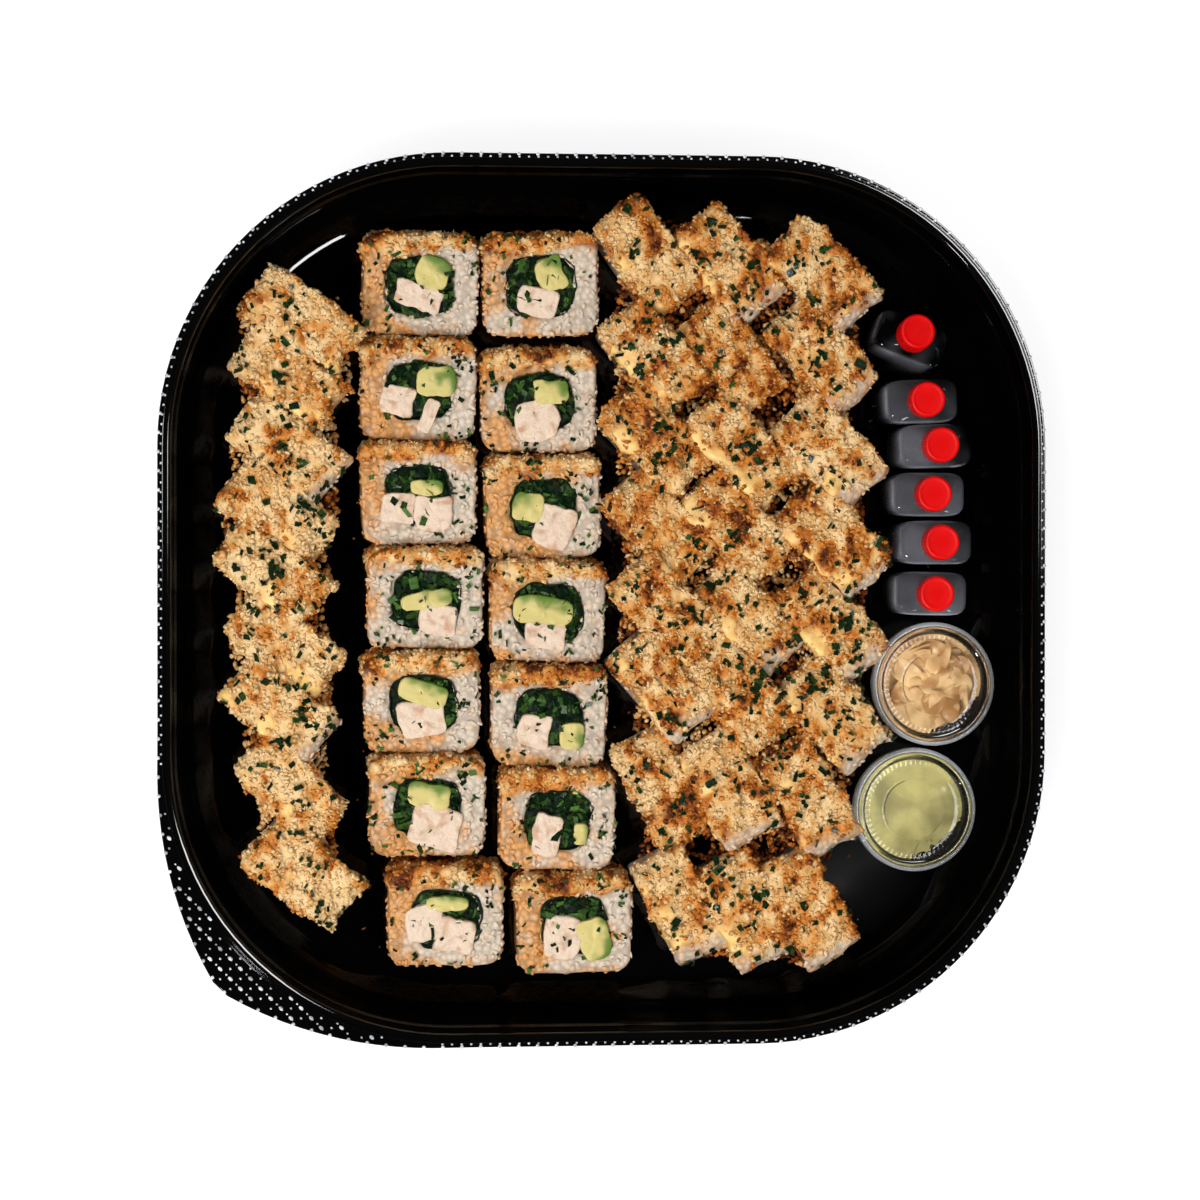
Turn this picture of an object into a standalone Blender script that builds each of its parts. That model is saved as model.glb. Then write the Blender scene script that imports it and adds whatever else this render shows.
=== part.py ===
"""Takeaway sushi tray: a black rounded-square tray with 47 crumbed rolls, six sauce bottles and two pots.

The origin is the middle of the tray's base, on the surface that it stands on. +X runs to the tray's right,
+Y to its back and +Z up. The lifting tab is at the front left corner.
Lengths are written in millimetres and turned into metres by MM.
"""

import math
import random

import bmesh
import bpy
from mathutils import Euler, Matrix, Vector

MM = 0.001
GAP = 0.3  # clearance between two pieces that touch

# The tray
TRAY_HALF = 170.0  # half side over the flange
TRAY_HEIGHT = 52.0
WALL = 1.0
FLANGE_WIDTH = 3.4
CORNER_RADIUS = 111.4  # of the flange's outer edge
CORNER_STEPS = 9
FLOOR_HALF = 149.0  # half side of the flat floor
FLOOR_FILLET = 12.0
FILLET_STEP = 28.0  # degrees; three steps leave the wall 6 degrees off upright
WALL_SPREAD = 2.3  # how far the wall leans out from its foot to the ledge
LIP_ROUND = 0.8  # half width of the rounded lip
LEDGE_HEIGHT = 37.0
LEDGE_WIDTH = 2.0
TAB_REACH = 14.0  # how far the tab swells past the plain corner
TAB_DIRECTION = 225.0
TAB_SPREAD = 27.0  # degrees either side of the tab's middle
FLOOR = WALL + GAP  # height at which the food stands

# The rolls
ROLL_CORNER = 8.0
CUT_EDGE = 1.6  # soft edge round a cut face
STANDING_LENGTH = 43.4
STANDING_HEIGHT = 42.0
CRUST_DIP = 1.5  # how deep the crust's hollows are
CRUMB_RISE = 1.3  # how high its crags are
RICE_DIP = 0.4  # how deep the plain rice's hollows are
LENGTH_SPREAD = 1.2  # the shortest roll is this much shorter than the longest
HEIGHT_SPREAD = 2.5
LEFT_SEED = 100  # the seed of a roll is its group's seed plus its number
RIGHT_SEED = 200
LYING_SEED = 300
POT_SEED = 400

# Rolls that stand on their side, crumbed side up: middle x and y, clockwise turn in degrees, thickness
LEFT_ROLLS = [
    (-115.6, 107.4, 37, 20.0),
    (-120.9, 85.3, 35, 19.5),
    (-120.2, 57.9, 40, 20.0),
    (-124.8, 34.0, 34, 19.5),
    (-126.1, 10.2, 36, 19.0),
    (-121.8, -17.2, 36, 19.0),
    (-124.1, -41.3, 39, 19.5),
    (-120.4, -71.7, 43, 19.5),
    (-115.4, -104.3, 40, 21.0),
]
RIGHT_ROLLS = [
    (17.7, 132.3, 55, 21.0),
    (49.0, 129.7, 50, 22.0),
    (86.0, 125.4, 47, 22.0),
    (19.4, 94.6, 50, 20.3),
    (49.6, 93.8, 50, 19.8),
    (84.3, 95.0, 47, 21.5),
    (20.2, 61.6, 47, 20.3),
    (54.1, 58.0, 46, 19.8),
    (88.0, 57.3, 46, 22.3),
    (22.2, 29.0, 45, 20.8),
    (52.6, 29.2, 46, 21.2),
    (89.8, 23.4, 45, 21.8),
    (24.4, -4.0, 45, 20.4),
    (56.2, -6.3, 46, 20.4),
    (89.3, -9.5, 46, 21.0),
    (22.6, -33.0, 48, 20.2),
    (54.2, -37.3, 49, 20.3),
    (89.4, -44.5, 48, 22.0),
    (22.9, -72.3, 60, 21.0),
    (49.5, -73.8, 60, 22.0),
    (80.6, -76.5, 60, 21.6),
    (29.9, -118.2, 62, 20.2),
    (55.1, -120.8, 62, 21.0),
    (80.2, -119.3, 60, 21.2),
]

# Rolls that lie with a cut face up, leaning towards the front like roof tiles
LYING_WIDTH = 45.5
LYING_DEPTH = 38.8
LYING_MIDDLE_HEIGHT = 25.0  # of the cut face above the tray's floor
LYING_RISE = 3.0  # the back edge is this much higher, the front edge this much lower
LYING_LEAN = 3.5  # how far the top leans forward
LYING_SHIFT = 0.3  # forward, clear of the roll behind
# Middle x and y and clockwise turn, then the filling on the cut face. A chunk is its middle x and y
# from the middle of the roll, its length and width and its clockwise turn.
LYING_ROLLS = {
    "roll_b1": (-70.1, 123.2, 1, [(-1, -4, 17, 9, 15), (5, 5, 12, 11, 20)]),
    "roll_c1": (-23.6, 123.3, -1, [(-1, -6, 14, 10, 15), (4, 5, 10, 12, -20)]),
    "roll_b2": (-70.9, 82.5, 1, [(-8, -4, 12, 10, 10), (4, -10, 5, 12, 20), (6, 4, 13, 11, 0)]),
    "roll_c2": (-24.2, 78.5, 0, [(-1, -7, 15, 15, -10), (4, 4, 12, 9, 0)]),
    "roll_b3": (-70.8, 42.3, -1, [(-8, -5, 12, 11, 5), (6, -7, 13, 12, 0), (3, 3, 11, 5, 0)]),
    "roll_c3": (-22.6, 37.2, -1, [(4, -7, 14, 15, 20), (-6, 1, 10, 10, 10)]),
    "roll_b4": (-68.3, 2.0, 1, [(5, -8, 12, 10, 5), (1, 0, 18, 6, -12)]),
    "roll_c4": (-20.4, -3.2, 1, [(-1, -9, 14, 9, 5), (-2, 1, 20, 9, 5)]),
    "roll_b5": (-69.4, -38.2, -1, [(0, -6, 16, 13, -10), (1, 4, 17, 8, 15)]),
    "roll_c5": (-20.0, -44.0, 1, [(-6, -5, 11, 12, 10), (9, -7, 9, 9, 0)]),
    "roll_b6": (-67.3, -78.6, 0, [(3, -8, 17, 14, 15), (0, 5, 15, 9, 10)]),
    "roll_c6": (-16.8, -84.3, 1, [(-4, -5, 10, 15, 10), (9, -5, 5, 8, 0)]),
    "roll_b7": (-60.3, -121.4, 1, [(-8, -2, 14, 12, -10), (4, -7, 13, 12, 10), (1, 6, 15, 5, 0)]),
    "roll_c7": (-10.3, -124.7, -1, [(-5, -5, 13, 15, 5), (8, -6, 11, 16, -15)]),
}
FILLING_RADIUS = 13.0
FILLING_RISE = 0.5  # the chopped leaves stand this much proud of the rice
CHUNK_RISE = 1.3
CHUNK_SINK = 2.0

# Sauce bottles. A level is named by its height above the bottle's base
BOTTLE_LENGTH = 28.6
BOTTLE_WIDTH = 17.0
BOTTLE_CHAMFER = 3.4
BOTTLE_BODY = 28.0
BOTTLE_SHOULDER = 31.0
BOTTLE_NECK = 32.5
BOTTLE_NECK_RADIUS = 5.2
BOTTLE_HEIGHT = 42.0
CAP_RADIUS = 7.0
CAP_EDGE = 0.6
# Middle of the base x and y, turn, lean to the back in degrees
BOTTLES = [
    (119.4, 98.6, -21.0, 8.0),
    (125.6, 77.8, 2.0, 0.0),
    (131.2, 60.3, 2.0, 0.0),
    (128.3, 41.3, 0.0, 0.0),
    (131.3, 22.5, 0.0, 0.0),
    (129.3, 2.5, -1.0, 0.0),
]

# Lidded pots
POT_BASE_RADIUS = 16.5
POT_TOP_RADIUS = 21.8
POT_RIM_RADIUS = 23.2
POT_HEIGHT = 24.0
POT_WALL = 0.7
LID_RADIUS = 24.2
LID_SKIRT = 3.2
LID_THICKNESS = 0.7
LID_RIM_RISE = 1.4
LID_WELL_RADIUS = 19.0
LID_WELL_DEPTH = 1.6
CONTENTS_HEIGHT = 19.0
POT_STEPS = 18
POTS = {"ginger": (131.0, -33.0), "wasabi": (123.6, -82.3)}


def clear_scene():
    for item in list(bpy.data.objects):
        bpy.data.objects.remove(item, do_unlink=True)


def collection(name):
    made = bpy.data.collections.new(name)
    bpy.context.scene.collection.children.link(made)
    return made


def material(name, colour, roughness, metallic=0.0, transmission=0.0):
    made = bpy.data.materials.new(name)
    made.use_nodes = True
    shader = made.node_tree.nodes["Principled BSDF"]
    shader.inputs["Base Color"].default_value = (*colour, 1.0)
    shader.inputs["Roughness"].default_value = roughness
    shader.inputs["Metallic"].default_value = metallic
    shader.inputs["Transmission Weight"].default_value = transmission
    return made


def add_object(name, bm, surface, into):
    """A bmesh in millimetres becomes an object in metres, with its faces pointing out."""
    bmesh.ops.recalc_face_normals(bm, faces=bm.faces)
    bmesh.ops.scale(bm, verts=bm.verts, vec=(MM, MM, MM))
    mesh = bpy.data.meshes.new(name)
    bm.to_mesh(mesh)
    bm.free()
    mesh.materials.append(surface)
    made = bpy.data.objects.new(name, mesh)
    into.objects.link(made)
    return made


def loft(rings, close_start=True, close_end=True):
    """A skin through closed rings that all have the same number of points."""
    bm = bmesh.new()
    rows = [[bm.verts.new(point) for point in ring] for ring in rings]
    count = len(rings[0])
    for lower, upper in zip(rows, rows[1:]):
        for i in range(count):
            j = (i + 1) % count
            bm.faces.new((lower[i], lower[j], upper[j], upper[i]))
    if close_start:
        bm.faces.new(list(reversed(rows[0])))
    if close_end:
        bm.faces.new(rows[-1])
    return bm, rows


def raise_crags(bm, faces, rise, rng):
    """Each face becomes a low pyramid of its own height, like a crust of coarse crumbs."""
    bm.normal_update()
    normals = [face.normal.copy() for face in faces]
    for face, normal in zip(faces, normals):
        height = rng.uniform(0.25, 1.0) * rise
        centre = bmesh.ops.poke(bm, faces=[face])["verts"][0]
        centre.co += normal * height


def rounded_square(half, radius, steps, height, swell=None):
    """One turn round a square with rounded corners, from the right side, as points at one height."""
    points = []
    middle = half - radius
    for corner in range(4):
        start = 90.0 * corner
        across = 1 if corner in (0, 3) else -1
        along = 1 if corner in (0, 1) else -1
        for step in range(steps + 1):
            angle = math.radians(start + 90.0 * step / steps)
            x = across * middle + radius * math.cos(angle)
            y = along * middle + radius * math.sin(angle)
            if swell:
                x, y = swell(x, y)
            points.append(Vector((x, y, height)))
    return points


def tab_swell(share):
    """Moves the points near the tab's direction outwards, by a smooth bump of the given share."""

    def swell(x, y):
        direction = math.degrees(math.atan2(y, x)) % 360.0
        off = abs(direction - TAB_DIRECTION) / TAB_SPREAD
        if off >= 1.0:
            return x, y
        reach = math.hypot(x, y)
        grown = reach + share * TAB_REACH * (1.0 - off) ** 1.7
        return x * grown / reach, y * grown / reach

    return swell


def make_tray(surface, into):
    """One open skin from the floor's middle to the flange's edge, thickened outwards."""
    inset = TRAY_HALF - CORNER_RADIUS
    wall_half = FLOOR_HALF + FLOOR_FILLET
    lip_half = TRAY_HALF - FLANGE_WIDTH
    profile = [(FLOOR_HALF, WALL, 0.0)]
    for step in (1, 2, 3):
        angle = math.radians(FILLET_STEP * step)
        across = FLOOR_HALF + FLOOR_FILLET * math.sin(angle)
        profile.append((across, WALL + FLOOR_FILLET * (1.0 - math.cos(angle)), 0.0))
    profile += [
        (wall_half + WALL_SPREAD, LEDGE_HEIGHT, 0.0),
        (wall_half + WALL_SPREAD + LEDGE_WIDTH, LEDGE_HEIGHT + 0.6, 0.0),
        (lip_half + 0.5 - LIP_ROUND, TRAY_HEIGHT - 0.9, 0.0),
        (lip_half + 0.5, TRAY_HEIGHT, 0.0),
        (lip_half + 0.7 + LIP_ROUND, TRAY_HEIGHT - 0.6, 0.05),
        (TRAY_HALF - 0.7, TRAY_HEIGHT - 1.0, 0.95),
        (TRAY_HALF, TRAY_HEIGHT - 3.6, 1.0),
    ]
    rings = [
        rounded_square(half, half - inset, CORNER_STEPS, height, tab_swell(share))
        for half, height, share in profile
    ]
    bm, _ = loft(rings, close_end=False)
    tray = add_object("tray", bm, surface, into)
    shell = tray.modifiers.new("Wall", "SOLIDIFY")
    shell.thickness = WALL * MM
    shell.offset = -1.0
    shell.use_even_offset = True
    return tray


def standing_section(length, height):
    """Outline of a roll seen along its axis, standing: a list of x, z and whether the crust covers it."""
    half = length / 2
    corner = ROLL_CORNER
    cut = corner * (1.0 - math.sqrt(0.5))
    top_points = 5
    outline = [(half - corner, 0.0, False), (half - 1.5, corner, False), (half, 0.5 * height, False)]
    outline += [(half, height - corner, True), (half - cut, height - cut, True)]
    for step in range(top_points):
        outline.append((half - corner - (length - 2 * corner) * step / (top_points - 1), height, True))
    outline += [(cut - half, height - cut, True), (-half, height - corner, True)]
    outline += [(-half, 0.5 * height, False), (1.5 - half, corner, False), (corner - half, 0.0, False)]
    return outline


def make_standing_roll(name, x, y, turn, thickness, seed, surface, into):
    """A slice of roll on its side: cut faces at its front and back, the crumbed crust on top."""
    rng = random.Random(seed)
    length = STANDING_LENGTH + rng.uniform(-LENGTH_SPREAD, 0.0)
    height = STANDING_HEIGHT + rng.uniform(-HEIGHT_SPREAD, 0.0) - CRUMB_RISE
    outline = standing_section(length, height)
    half = thickness / 2
    stations = [(-half, 1.0), (CUT_EDGE - half, 0.0), (0.0, 0.0), (half - CUT_EDGE, 0.0), (half, 1.0)]
    rings = []
    for station, edge in stations:
        ring = []
        for along, up, crust in outline:
            dip = rng.uniform(0.0, CRUST_DIP if crust else RICE_DIP)
            pull = 1.0 - (dip * 0.6 + edge * CUT_EDGE * 0.7) / (length / 2)
            lowered = up - (dip + edge * CUT_EDGE * 0.6 if crust else 0.0)
            ring.append(Vector((along * pull, station, max(lowered, 0.0))))
        rings.append(ring)
    bm, rows = loft(rings)
    crust_points = {vert for row in rows[1:4] for vert, place in zip(row, outline) if place[2]}
    crust = [face for face in bm.faces if all(vert in crust_points for vert in face.verts)]
    raise_crags(bm, crust, CRUMB_RISE, rng)
    roll = add_object(name, bm, surface, into)
    roll.location = Vector((x, y, FLOOR)) * MM
    roll.rotation_euler = Euler((0.0, 0.0, math.radians(-turn)))
    return roll


def lying_section(width, depth):
    """Outline of a lying roll seen from above: x, y and whether the crust covers it, at the back."""
    half_x, half_y = width / 2, depth / 2
    corner = ROLL_CORNER - 1.0
    cut = corner * (1.0 - math.sqrt(0.5))
    back_points = 5
    outline = [(half_x - cut, cut - half_y, False), (half_x, corner - half_y, False)]
    outline += [(half_x, half_y - corner, True), (half_x - cut, half_y - cut, True)]
    for step in range(back_points):
        outline.append((half_x - corner - (width - 2 * corner) * step / (back_points - 1), half_y, True))
    outline += [(cut - half_x, half_y - cut, True), (-half_x, half_y - corner, True)]
    outline += [(-half_x, corner - half_y, False), (cut - half_x, cut - half_y, False)]
    outline += [(corner - half_x, -half_y, False), (half_x - corner, -half_y, False)]
    return outline


def filling_disc(rng):
    """The patch of chopped leaves in the middle of a cut face, with an uneven edge."""
    points = 10
    reach = [FILLING_RADIUS * rng.uniform(0.88, 1.08) for _ in range(points)]
    rings = []
    for height in (-CHUNK_SINK, FILLING_RISE):
        ring = []
        for i in range(points):
            angle = 2.0 * math.pi * i / points
            ring.append(Vector((reach[i] * math.cos(angle), reach[i] * math.sin(angle), height)))
        rings.append(ring)
    return loft(rings)[0]


def filling_chunk(x, y, length, width, turn, rng):
    """One piece of chicken or avocado, a block with a slightly smaller, uneven top."""
    bm = bmesh.new()
    bmesh.ops.create_cube(bm, size=1.0)
    top = CHUNK_RISE * rng.uniform(0.8, 1.1)
    for vert in bm.verts:
        upper = vert.co.z > 0.0
        shrink = rng.uniform(0.8, 0.95) if upper else 1.0
        vert.co.x *= length * shrink
        vert.co.y *= width * shrink
        vert.co.z = top if upper else -CHUNK_SINK
    turned = Matrix.Translation((x, y, 0.0)) @ Matrix.Rotation(math.radians(-turn), 4, "Z")
    bmesh.ops.transform(bm, matrix=turned, verts=bm.verts)
    return bm


def make_lying_roll(name, x, y, turn, chunks, seed, surface, into):
    """A slice of roll with a cut face up, its crust to the back and the filling proud of the rice."""
    rng = random.Random(seed)
    outline = lying_section(LYING_WIDTH, LYING_DEPTH)
    slope = LYING_RISE / (LYING_DEPTH / 2)
    levels = [(0.0, 1.0), (0.08, 0.0), (0.5, 0.0), (0.93, 0.0), (1.0, 1.0)]
    rings = []
    for level, edge in levels:
        ring = []
        for across, back, crust in outline:
            dip = rng.uniform(0.0, CRUST_DIP if crust else RICE_DIP)
            pull = 1.0 - (dip + edge * CUT_EDGE * 0.7) / (LYING_WIDTH / 2)
            lean = LYING_LEAN * (0.5 - level)
            top = LYING_MIDDLE_HEIGHT + slope * back * pull
            ring.append(Vector((across * pull, back * pull + lean - LYING_SHIFT, level * top)))
        rings.append(ring)
    bm, rows = loft(rings)
    crust_points = {vert for row in rows[1:4] for vert, place in zip(row, outline) if place[2]}
    crust = [face for face in bm.faces if all(vert in crust_points for vert in face.verts)]
    raise_crags(bm, crust, 0.8 * CRUMB_RISE, rng)
    roll = add_object(name, bm, surface, into)

    face_height = LYING_MIDDLE_HEIGHT - slope * LYING_LEAN / 2
    tilt = Matrix.Translation((0.0, -LYING_LEAN / 2, face_height)) @ Matrix.Rotation(math.atan(slope), 4, "X")
    fillings = collection(name + "_filling")
    parts = [filling_disc(rng)] + [filling_chunk(*chunk, rng) for chunk in chunks]
    for index, piece in enumerate(parts):
        bmesh.ops.transform(piece, matrix=tilt, verts=piece.verts)
        add_object(f"{name}_filling_{index}", piece, surface, fillings)
    join = roll.modifiers.new("Filling", "BOOLEAN")
    join.operation = "UNION"
    join.operand_type = "COLLECTION"
    join.collection = fillings
    join.solver = "EXACT"
    bpy.context.view_layer.update()
    joined = bpy.data.meshes.new_from_object(roll.evaluated_get(bpy.context.evaluated_depsgraph_get()))
    roll.modifiers.clear()
    roll.data = joined
    for piece in list(fillings.objects):
        bpy.data.objects.remove(piece, do_unlink=True)
    bpy.data.collections.remove(fillings)

    roll.location = Vector((x, y, FLOOR)) * MM
    roll.rotation_euler = Euler((0.0, 0.0, math.radians(-turn)))
    return roll


def bottle_ring(half_length, half_width, chamfer, height):
    """Twelve points round an oblong with cut corners."""
    quarter = [(half_length, 0.0), (half_length, half_width - chamfer), (half_length - chamfer, half_width)]
    ring = quarter + [(0.0, half_width)]
    ring += [(-x, y) for x, y in reversed(quarter[1:])]
    ring += [(-x, -y) for x, y in quarter]
    ring += [(0.0, -half_width)]
    ring += [(x, -y) for x, y in reversed(quarter[1:])]
    return [Vector((x, y, height)) for x, y in ring]


def round_ring(radius, count, height, start=0.0):
    return [
        Vector((radius * math.cos(start + 2 * math.pi * i / count),
                radius * math.sin(start + 2 * math.pi * i / count), height))
        for i in range(count)
    ]


def make_bottle(name, x, y, turn, lean, surface, into):
    """An oblong bottle with cut corners, a sloping shoulder, a round neck and a round cap."""
    half_length, half_width = BOTTLE_LENGTH / 2, BOTTLE_WIDTH / 2
    count = 12
    rings = [
        bottle_ring(half_length, half_width, BOTTLE_CHAMFER, 0.0),
        bottle_ring(half_length, half_width, BOTTLE_CHAMFER, BOTTLE_BODY),
        bottle_ring(0.62 * half_length, 0.72 * half_width, 0.8 * BOTTLE_CHAMFER, BOTTLE_SHOULDER),
        round_ring(BOTTLE_NECK_RADIUS, count, BOTTLE_NECK),
        round_ring(CAP_RADIUS, count, BOTTLE_NECK + 0.2),
        round_ring(CAP_RADIUS, count, BOTTLE_HEIGHT - CAP_EDGE),
        round_ring(CAP_RADIUS - CAP_EDGE, count, BOTTLE_HEIGHT),
    ]
    bm, _ = loft(rings)
    bottle = add_object(name, bm, surface, into)
    lift = half_width * math.sin(math.radians(lean))
    bottle.location = Vector((x, y, FLOOR + lift)) * MM
    bottle.rotation_euler = Euler((math.radians(-lean), 0.0, math.radians(turn)))
    return bottle


def turned(name, profile, x, y, surface, into):
    """A profile of radius and height, down its outer side and back, turned about the upright axis."""
    mesh = bpy.data.meshes.new(name)
    points = [(radius * MM, 0.0, height * MM) for radius, height in profile]
    edges = [(i, i + 1) for i in range(len(points) - 1)]
    mesh.from_pydata(points, edges, [])
    mesh.materials.append(surface)
    made = bpy.data.objects.new(name, mesh)
    into.objects.link(made)
    screw = made.modifiers.new("Turn", "SCREW")
    screw.steps = POT_STEPS
    screw.render_steps = POT_STEPS
    screw.use_merge_vertices = True
    screw.merge_threshold = 0.00001
    made.location = Vector((x, y, FLOOR)) * MM
    return made


def make_pot(name, x, y, plastic, contents_surface, seed, into):
    """A tapered cup with a rolled rim, what fills it, and a lid that caps the rim."""
    inner_base = POT_BASE_RADIUS - POT_WALL
    inner_top = POT_TOP_RADIUS - POT_WALL
    cup = [
        (0.0, POT_WALL),
        (inner_base, POT_WALL),
        (inner_top, POT_HEIGHT),
        (POT_RIM_RADIUS, POT_HEIGHT),
        (POT_RIM_RADIUS, POT_HEIGHT - 1.0),
        (POT_TOP_RADIUS, POT_HEIGHT - 1.0),
        (POT_BASE_RADIUS, 0.0),
        (0.0, 0.0),
    ]
    turned(f"{name}_cup", cup, x, y, plastic, into)
    under = POT_HEIGHT + GAP
    well = under + LID_RIM_RISE - LID_WELL_DEPTH
    lid = [
        (0.0, well + LID_THICKNESS),
        (LID_WELL_RADIUS, well + LID_THICKNESS),
        (LID_WELL_RADIUS + 1.0, under + LID_RIM_RISE + LID_THICKNESS),
        (LID_RADIUS - 0.6, under + LID_RIM_RISE + LID_THICKNESS),
        (LID_RADIUS, under + LID_RIM_RISE),
        (LID_RADIUS, under - LID_SKIRT),
        (POT_RIM_RADIUS + GAP, under - LID_SKIRT),
        (POT_RIM_RADIUS + GAP, under + 0.7),
        (LID_WELL_RADIUS + 1.6, under + 0.7),
        (LID_WELL_RADIUS + 0.6, well),
        (0.0, well),
    ]
    turned(f"{name}_lid", lid, x, y, plastic, into)

    rng = random.Random(seed)
    taper = (inner_top - inner_base) / (POT_HEIGHT - POT_WALL)
    foot = POT_WALL + GAP
    clear = GAP + 0.4
    count = 14
    rings = []
    surface = CONTENTS_HEIGHT
    for share, height in ((1.0, foot), (1.0, surface), (0.66, surface + 0.8), (0.3, surface)):
        wall = inner_base + taper * (height - POT_WALL) - clear
        ring = round_ring(share * wall * math.cos(math.pi / POT_STEPS), count, height)
        if height > foot:
            for point in ring:
                point.z += rng.uniform(-1.3, 1.3)
        rings.append(ring)
    bm, _ = loft(rings)
    contents = add_object(f"{name}_contents", bm, contents_surface, into)
    contents.location = Vector((x, y, FLOOR)) * MM


def main():
    clear_scene()
    into = collection("takeaway_sushi_tray")
    black = material("black_plastic", (0.006, 0.006, 0.007), 0.22)
    crust = material("toasted_crumb", (0.55, 0.27, 0.09), 0.8)
    rice = material("rice_and_filling", (0.75, 0.73, 0.68), 0.6)
    bottle = material("sauce_bottle", (0.25, 0.02, 0.02), 0.25)
    clear = material("clear_plastic", (0.9, 0.92, 0.92), 0.08, transmission=0.9)
    fillings = {
        "ginger": material("pickled_ginger", (0.72, 0.5, 0.31), 0.4),
        "wasabi": material("wasabi_paste", (0.36, 0.4, 0.13), 0.5),
    }
    make_tray(black, into)
    for index, (x, y, turn, thickness) in enumerate(LEFT_ROLLS):
        make_standing_roll(f"roll_a{index + 1}", x, y, turn, thickness, LEFT_SEED + index, crust, into)
    for index, (x, y, turn, thickness) in enumerate(RIGHT_ROLLS):
        row, column = divmod(index, 3)
        name = f"roll_{'def'[column]}{row + 1}"
        make_standing_roll(name, x, y, turn, thickness, RIGHT_SEED + index, crust, into)
    for index, (name, (x, y, turn, chunks)) in enumerate(LYING_ROLLS.items()):
        make_lying_roll(name, x, y, turn, chunks, LYING_SEED + index, rice, into)
    for index, (x, y, turn, lean) in enumerate(BOTTLES):
        make_bottle(f"soy_bottle_{index + 1}", x, y, turn, lean, bottle, into)
    for index, (name, (x, y)) in enumerate(POTS.items()):
        make_pot(name, x, y, clear, fillings[name], POT_SEED + index, into)


main()
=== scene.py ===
"""Looks of a takeaway sushi tray: a black tray, crumbed rolls, sauce bottles and two lidded pots.

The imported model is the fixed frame. Every piece here is worked out in millimetres in that frame and put
into its mesh in metres: +X to the tray's right, +Y to its back, +Z up, with the origin under the middle of
the base.
"""

import math
import random

import bpy
import numpy as np
from mathutils import Matrix, Vector


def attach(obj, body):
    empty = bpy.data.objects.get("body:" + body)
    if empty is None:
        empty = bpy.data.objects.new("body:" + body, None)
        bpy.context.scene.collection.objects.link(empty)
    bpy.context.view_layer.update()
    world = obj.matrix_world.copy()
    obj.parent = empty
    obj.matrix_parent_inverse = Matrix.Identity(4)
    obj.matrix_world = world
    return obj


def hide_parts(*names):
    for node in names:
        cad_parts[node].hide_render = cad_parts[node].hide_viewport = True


bl_info = {
    "name": "Takeaway sushi tray",
    "version": (1, 0, 0),
    "blender": (4, 5, 0),
    "location": "3D View > Sidebar > Sushi tray",
    "description": "Dresses the packed sushi tray with rice, crumbs, fillings, plastic, bottles and pots",
    "category": "Object",
}

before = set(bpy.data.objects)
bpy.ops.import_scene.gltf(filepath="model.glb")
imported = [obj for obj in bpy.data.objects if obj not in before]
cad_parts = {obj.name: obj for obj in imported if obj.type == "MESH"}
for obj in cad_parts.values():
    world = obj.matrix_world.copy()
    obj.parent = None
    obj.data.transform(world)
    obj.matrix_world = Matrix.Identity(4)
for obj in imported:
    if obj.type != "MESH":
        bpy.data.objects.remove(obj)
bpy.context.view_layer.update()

MM = 0.001

# Tray, as in the solids
CORNER_CENTRE = 58.6  # distance of a corner's centre from the tray's middle, in x and in y
FLOOR_HALF = 149.0
FLOOR_FILLET = 12.0
PLASTIC = 1.0
TAB_REACH = 14.0
TAB_SPREAD = 27.0
TAB_DIRECTION = 225.0
WALL_BEADS = (20.0, 30.0)  # heights of the shallow beads round the wall
STAND = 1.3  # height at which the food stands

# Dots: each row's half side, height, share of the tab, first place and spacing, then the lattice on the tab
# with its dots' offset in x and y, length and width
DOT_ROWS = ((168.4, 51.36, 0.25, 1.8, 3.65), (169.45, 51.26, 0.97, 0.0, 7.2))
LATTICE_EDGES = ((168.2, 51.3, 0.0), (169.4, 51.0, 0.93))
LATTICE_START = -135.0
LATTICE_STEP = 3.8
LATTICE_DOTS = ((0.0, 0.0, 1.15, 0.72), (-1.5, 1.6, 0.45, 0.38), (3.8, 0.0, 0.5, 0.42))

STANDING_LENGTH = 43.4
STANDING_HEIGHT = 42.0
CRUMB_RISE = 1.3

# Standing rolls: columns, number of the first row, seed of the first roll, then from the back each roll's
# middle x and y, clockwise turn and thickness
ROLL_GROUPS = {
    "standing_rolls_left": ("a", 1, 100, [
        (-115.6, 107.4, 37, 20.0), (-120.9, 85.3, 35, 19.5), (-120.2, 57.9, 40, 20.0),
        (-124.8, 34.0, 34, 19.5), (-126.1, 10.2, 36, 19.0), (-121.8, -17.2, 36, 19.0),
        (-124.1, -41.3, 39, 19.5), (-120.4, -71.7, 43, 19.5), (-115.4, -104.3, 40, 21.0),
    ]),
    "standing_rolls_back": ("def", 1, 200, [
        (17.7, 132.3, 55, 21.0), (49.0, 129.7, 50, 22.0), (86.0, 125.4, 47, 22.0),
        (19.4, 94.6, 50, 20.3), (49.6, 93.8, 50, 19.8), (84.3, 95.0, 47, 21.5),
        (20.2, 61.6, 47, 20.3), (54.1, 58.0, 46, 19.8), (88.0, 57.3, 46, 22.3),
        (22.2, 29.0, 45, 20.8), (52.6, 29.2, 46, 21.2), (89.8, 23.4, 45, 21.8),
    ]),
    "standing_rolls_front": ("def", 5, 212, [
        (24.4, -4.0, 45, 20.4), (56.2, -6.3, 46, 20.4), (89.3, -9.5, 46, 21.0),
        (22.6, -33.0, 48, 20.2), (54.2, -37.3, 49, 20.3), (89.4, -44.5, 48, 22.0),
        (22.9, -72.3, 60, 21.0), (49.5, -73.8, 60, 22.0), (80.6, -76.5, 60, 21.6),
        (29.9, -118.2, 62, 20.2), (55.1, -120.8, 62, 21.0), (80.2, -119.3, 60, 21.2),
    ]),
}

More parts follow.
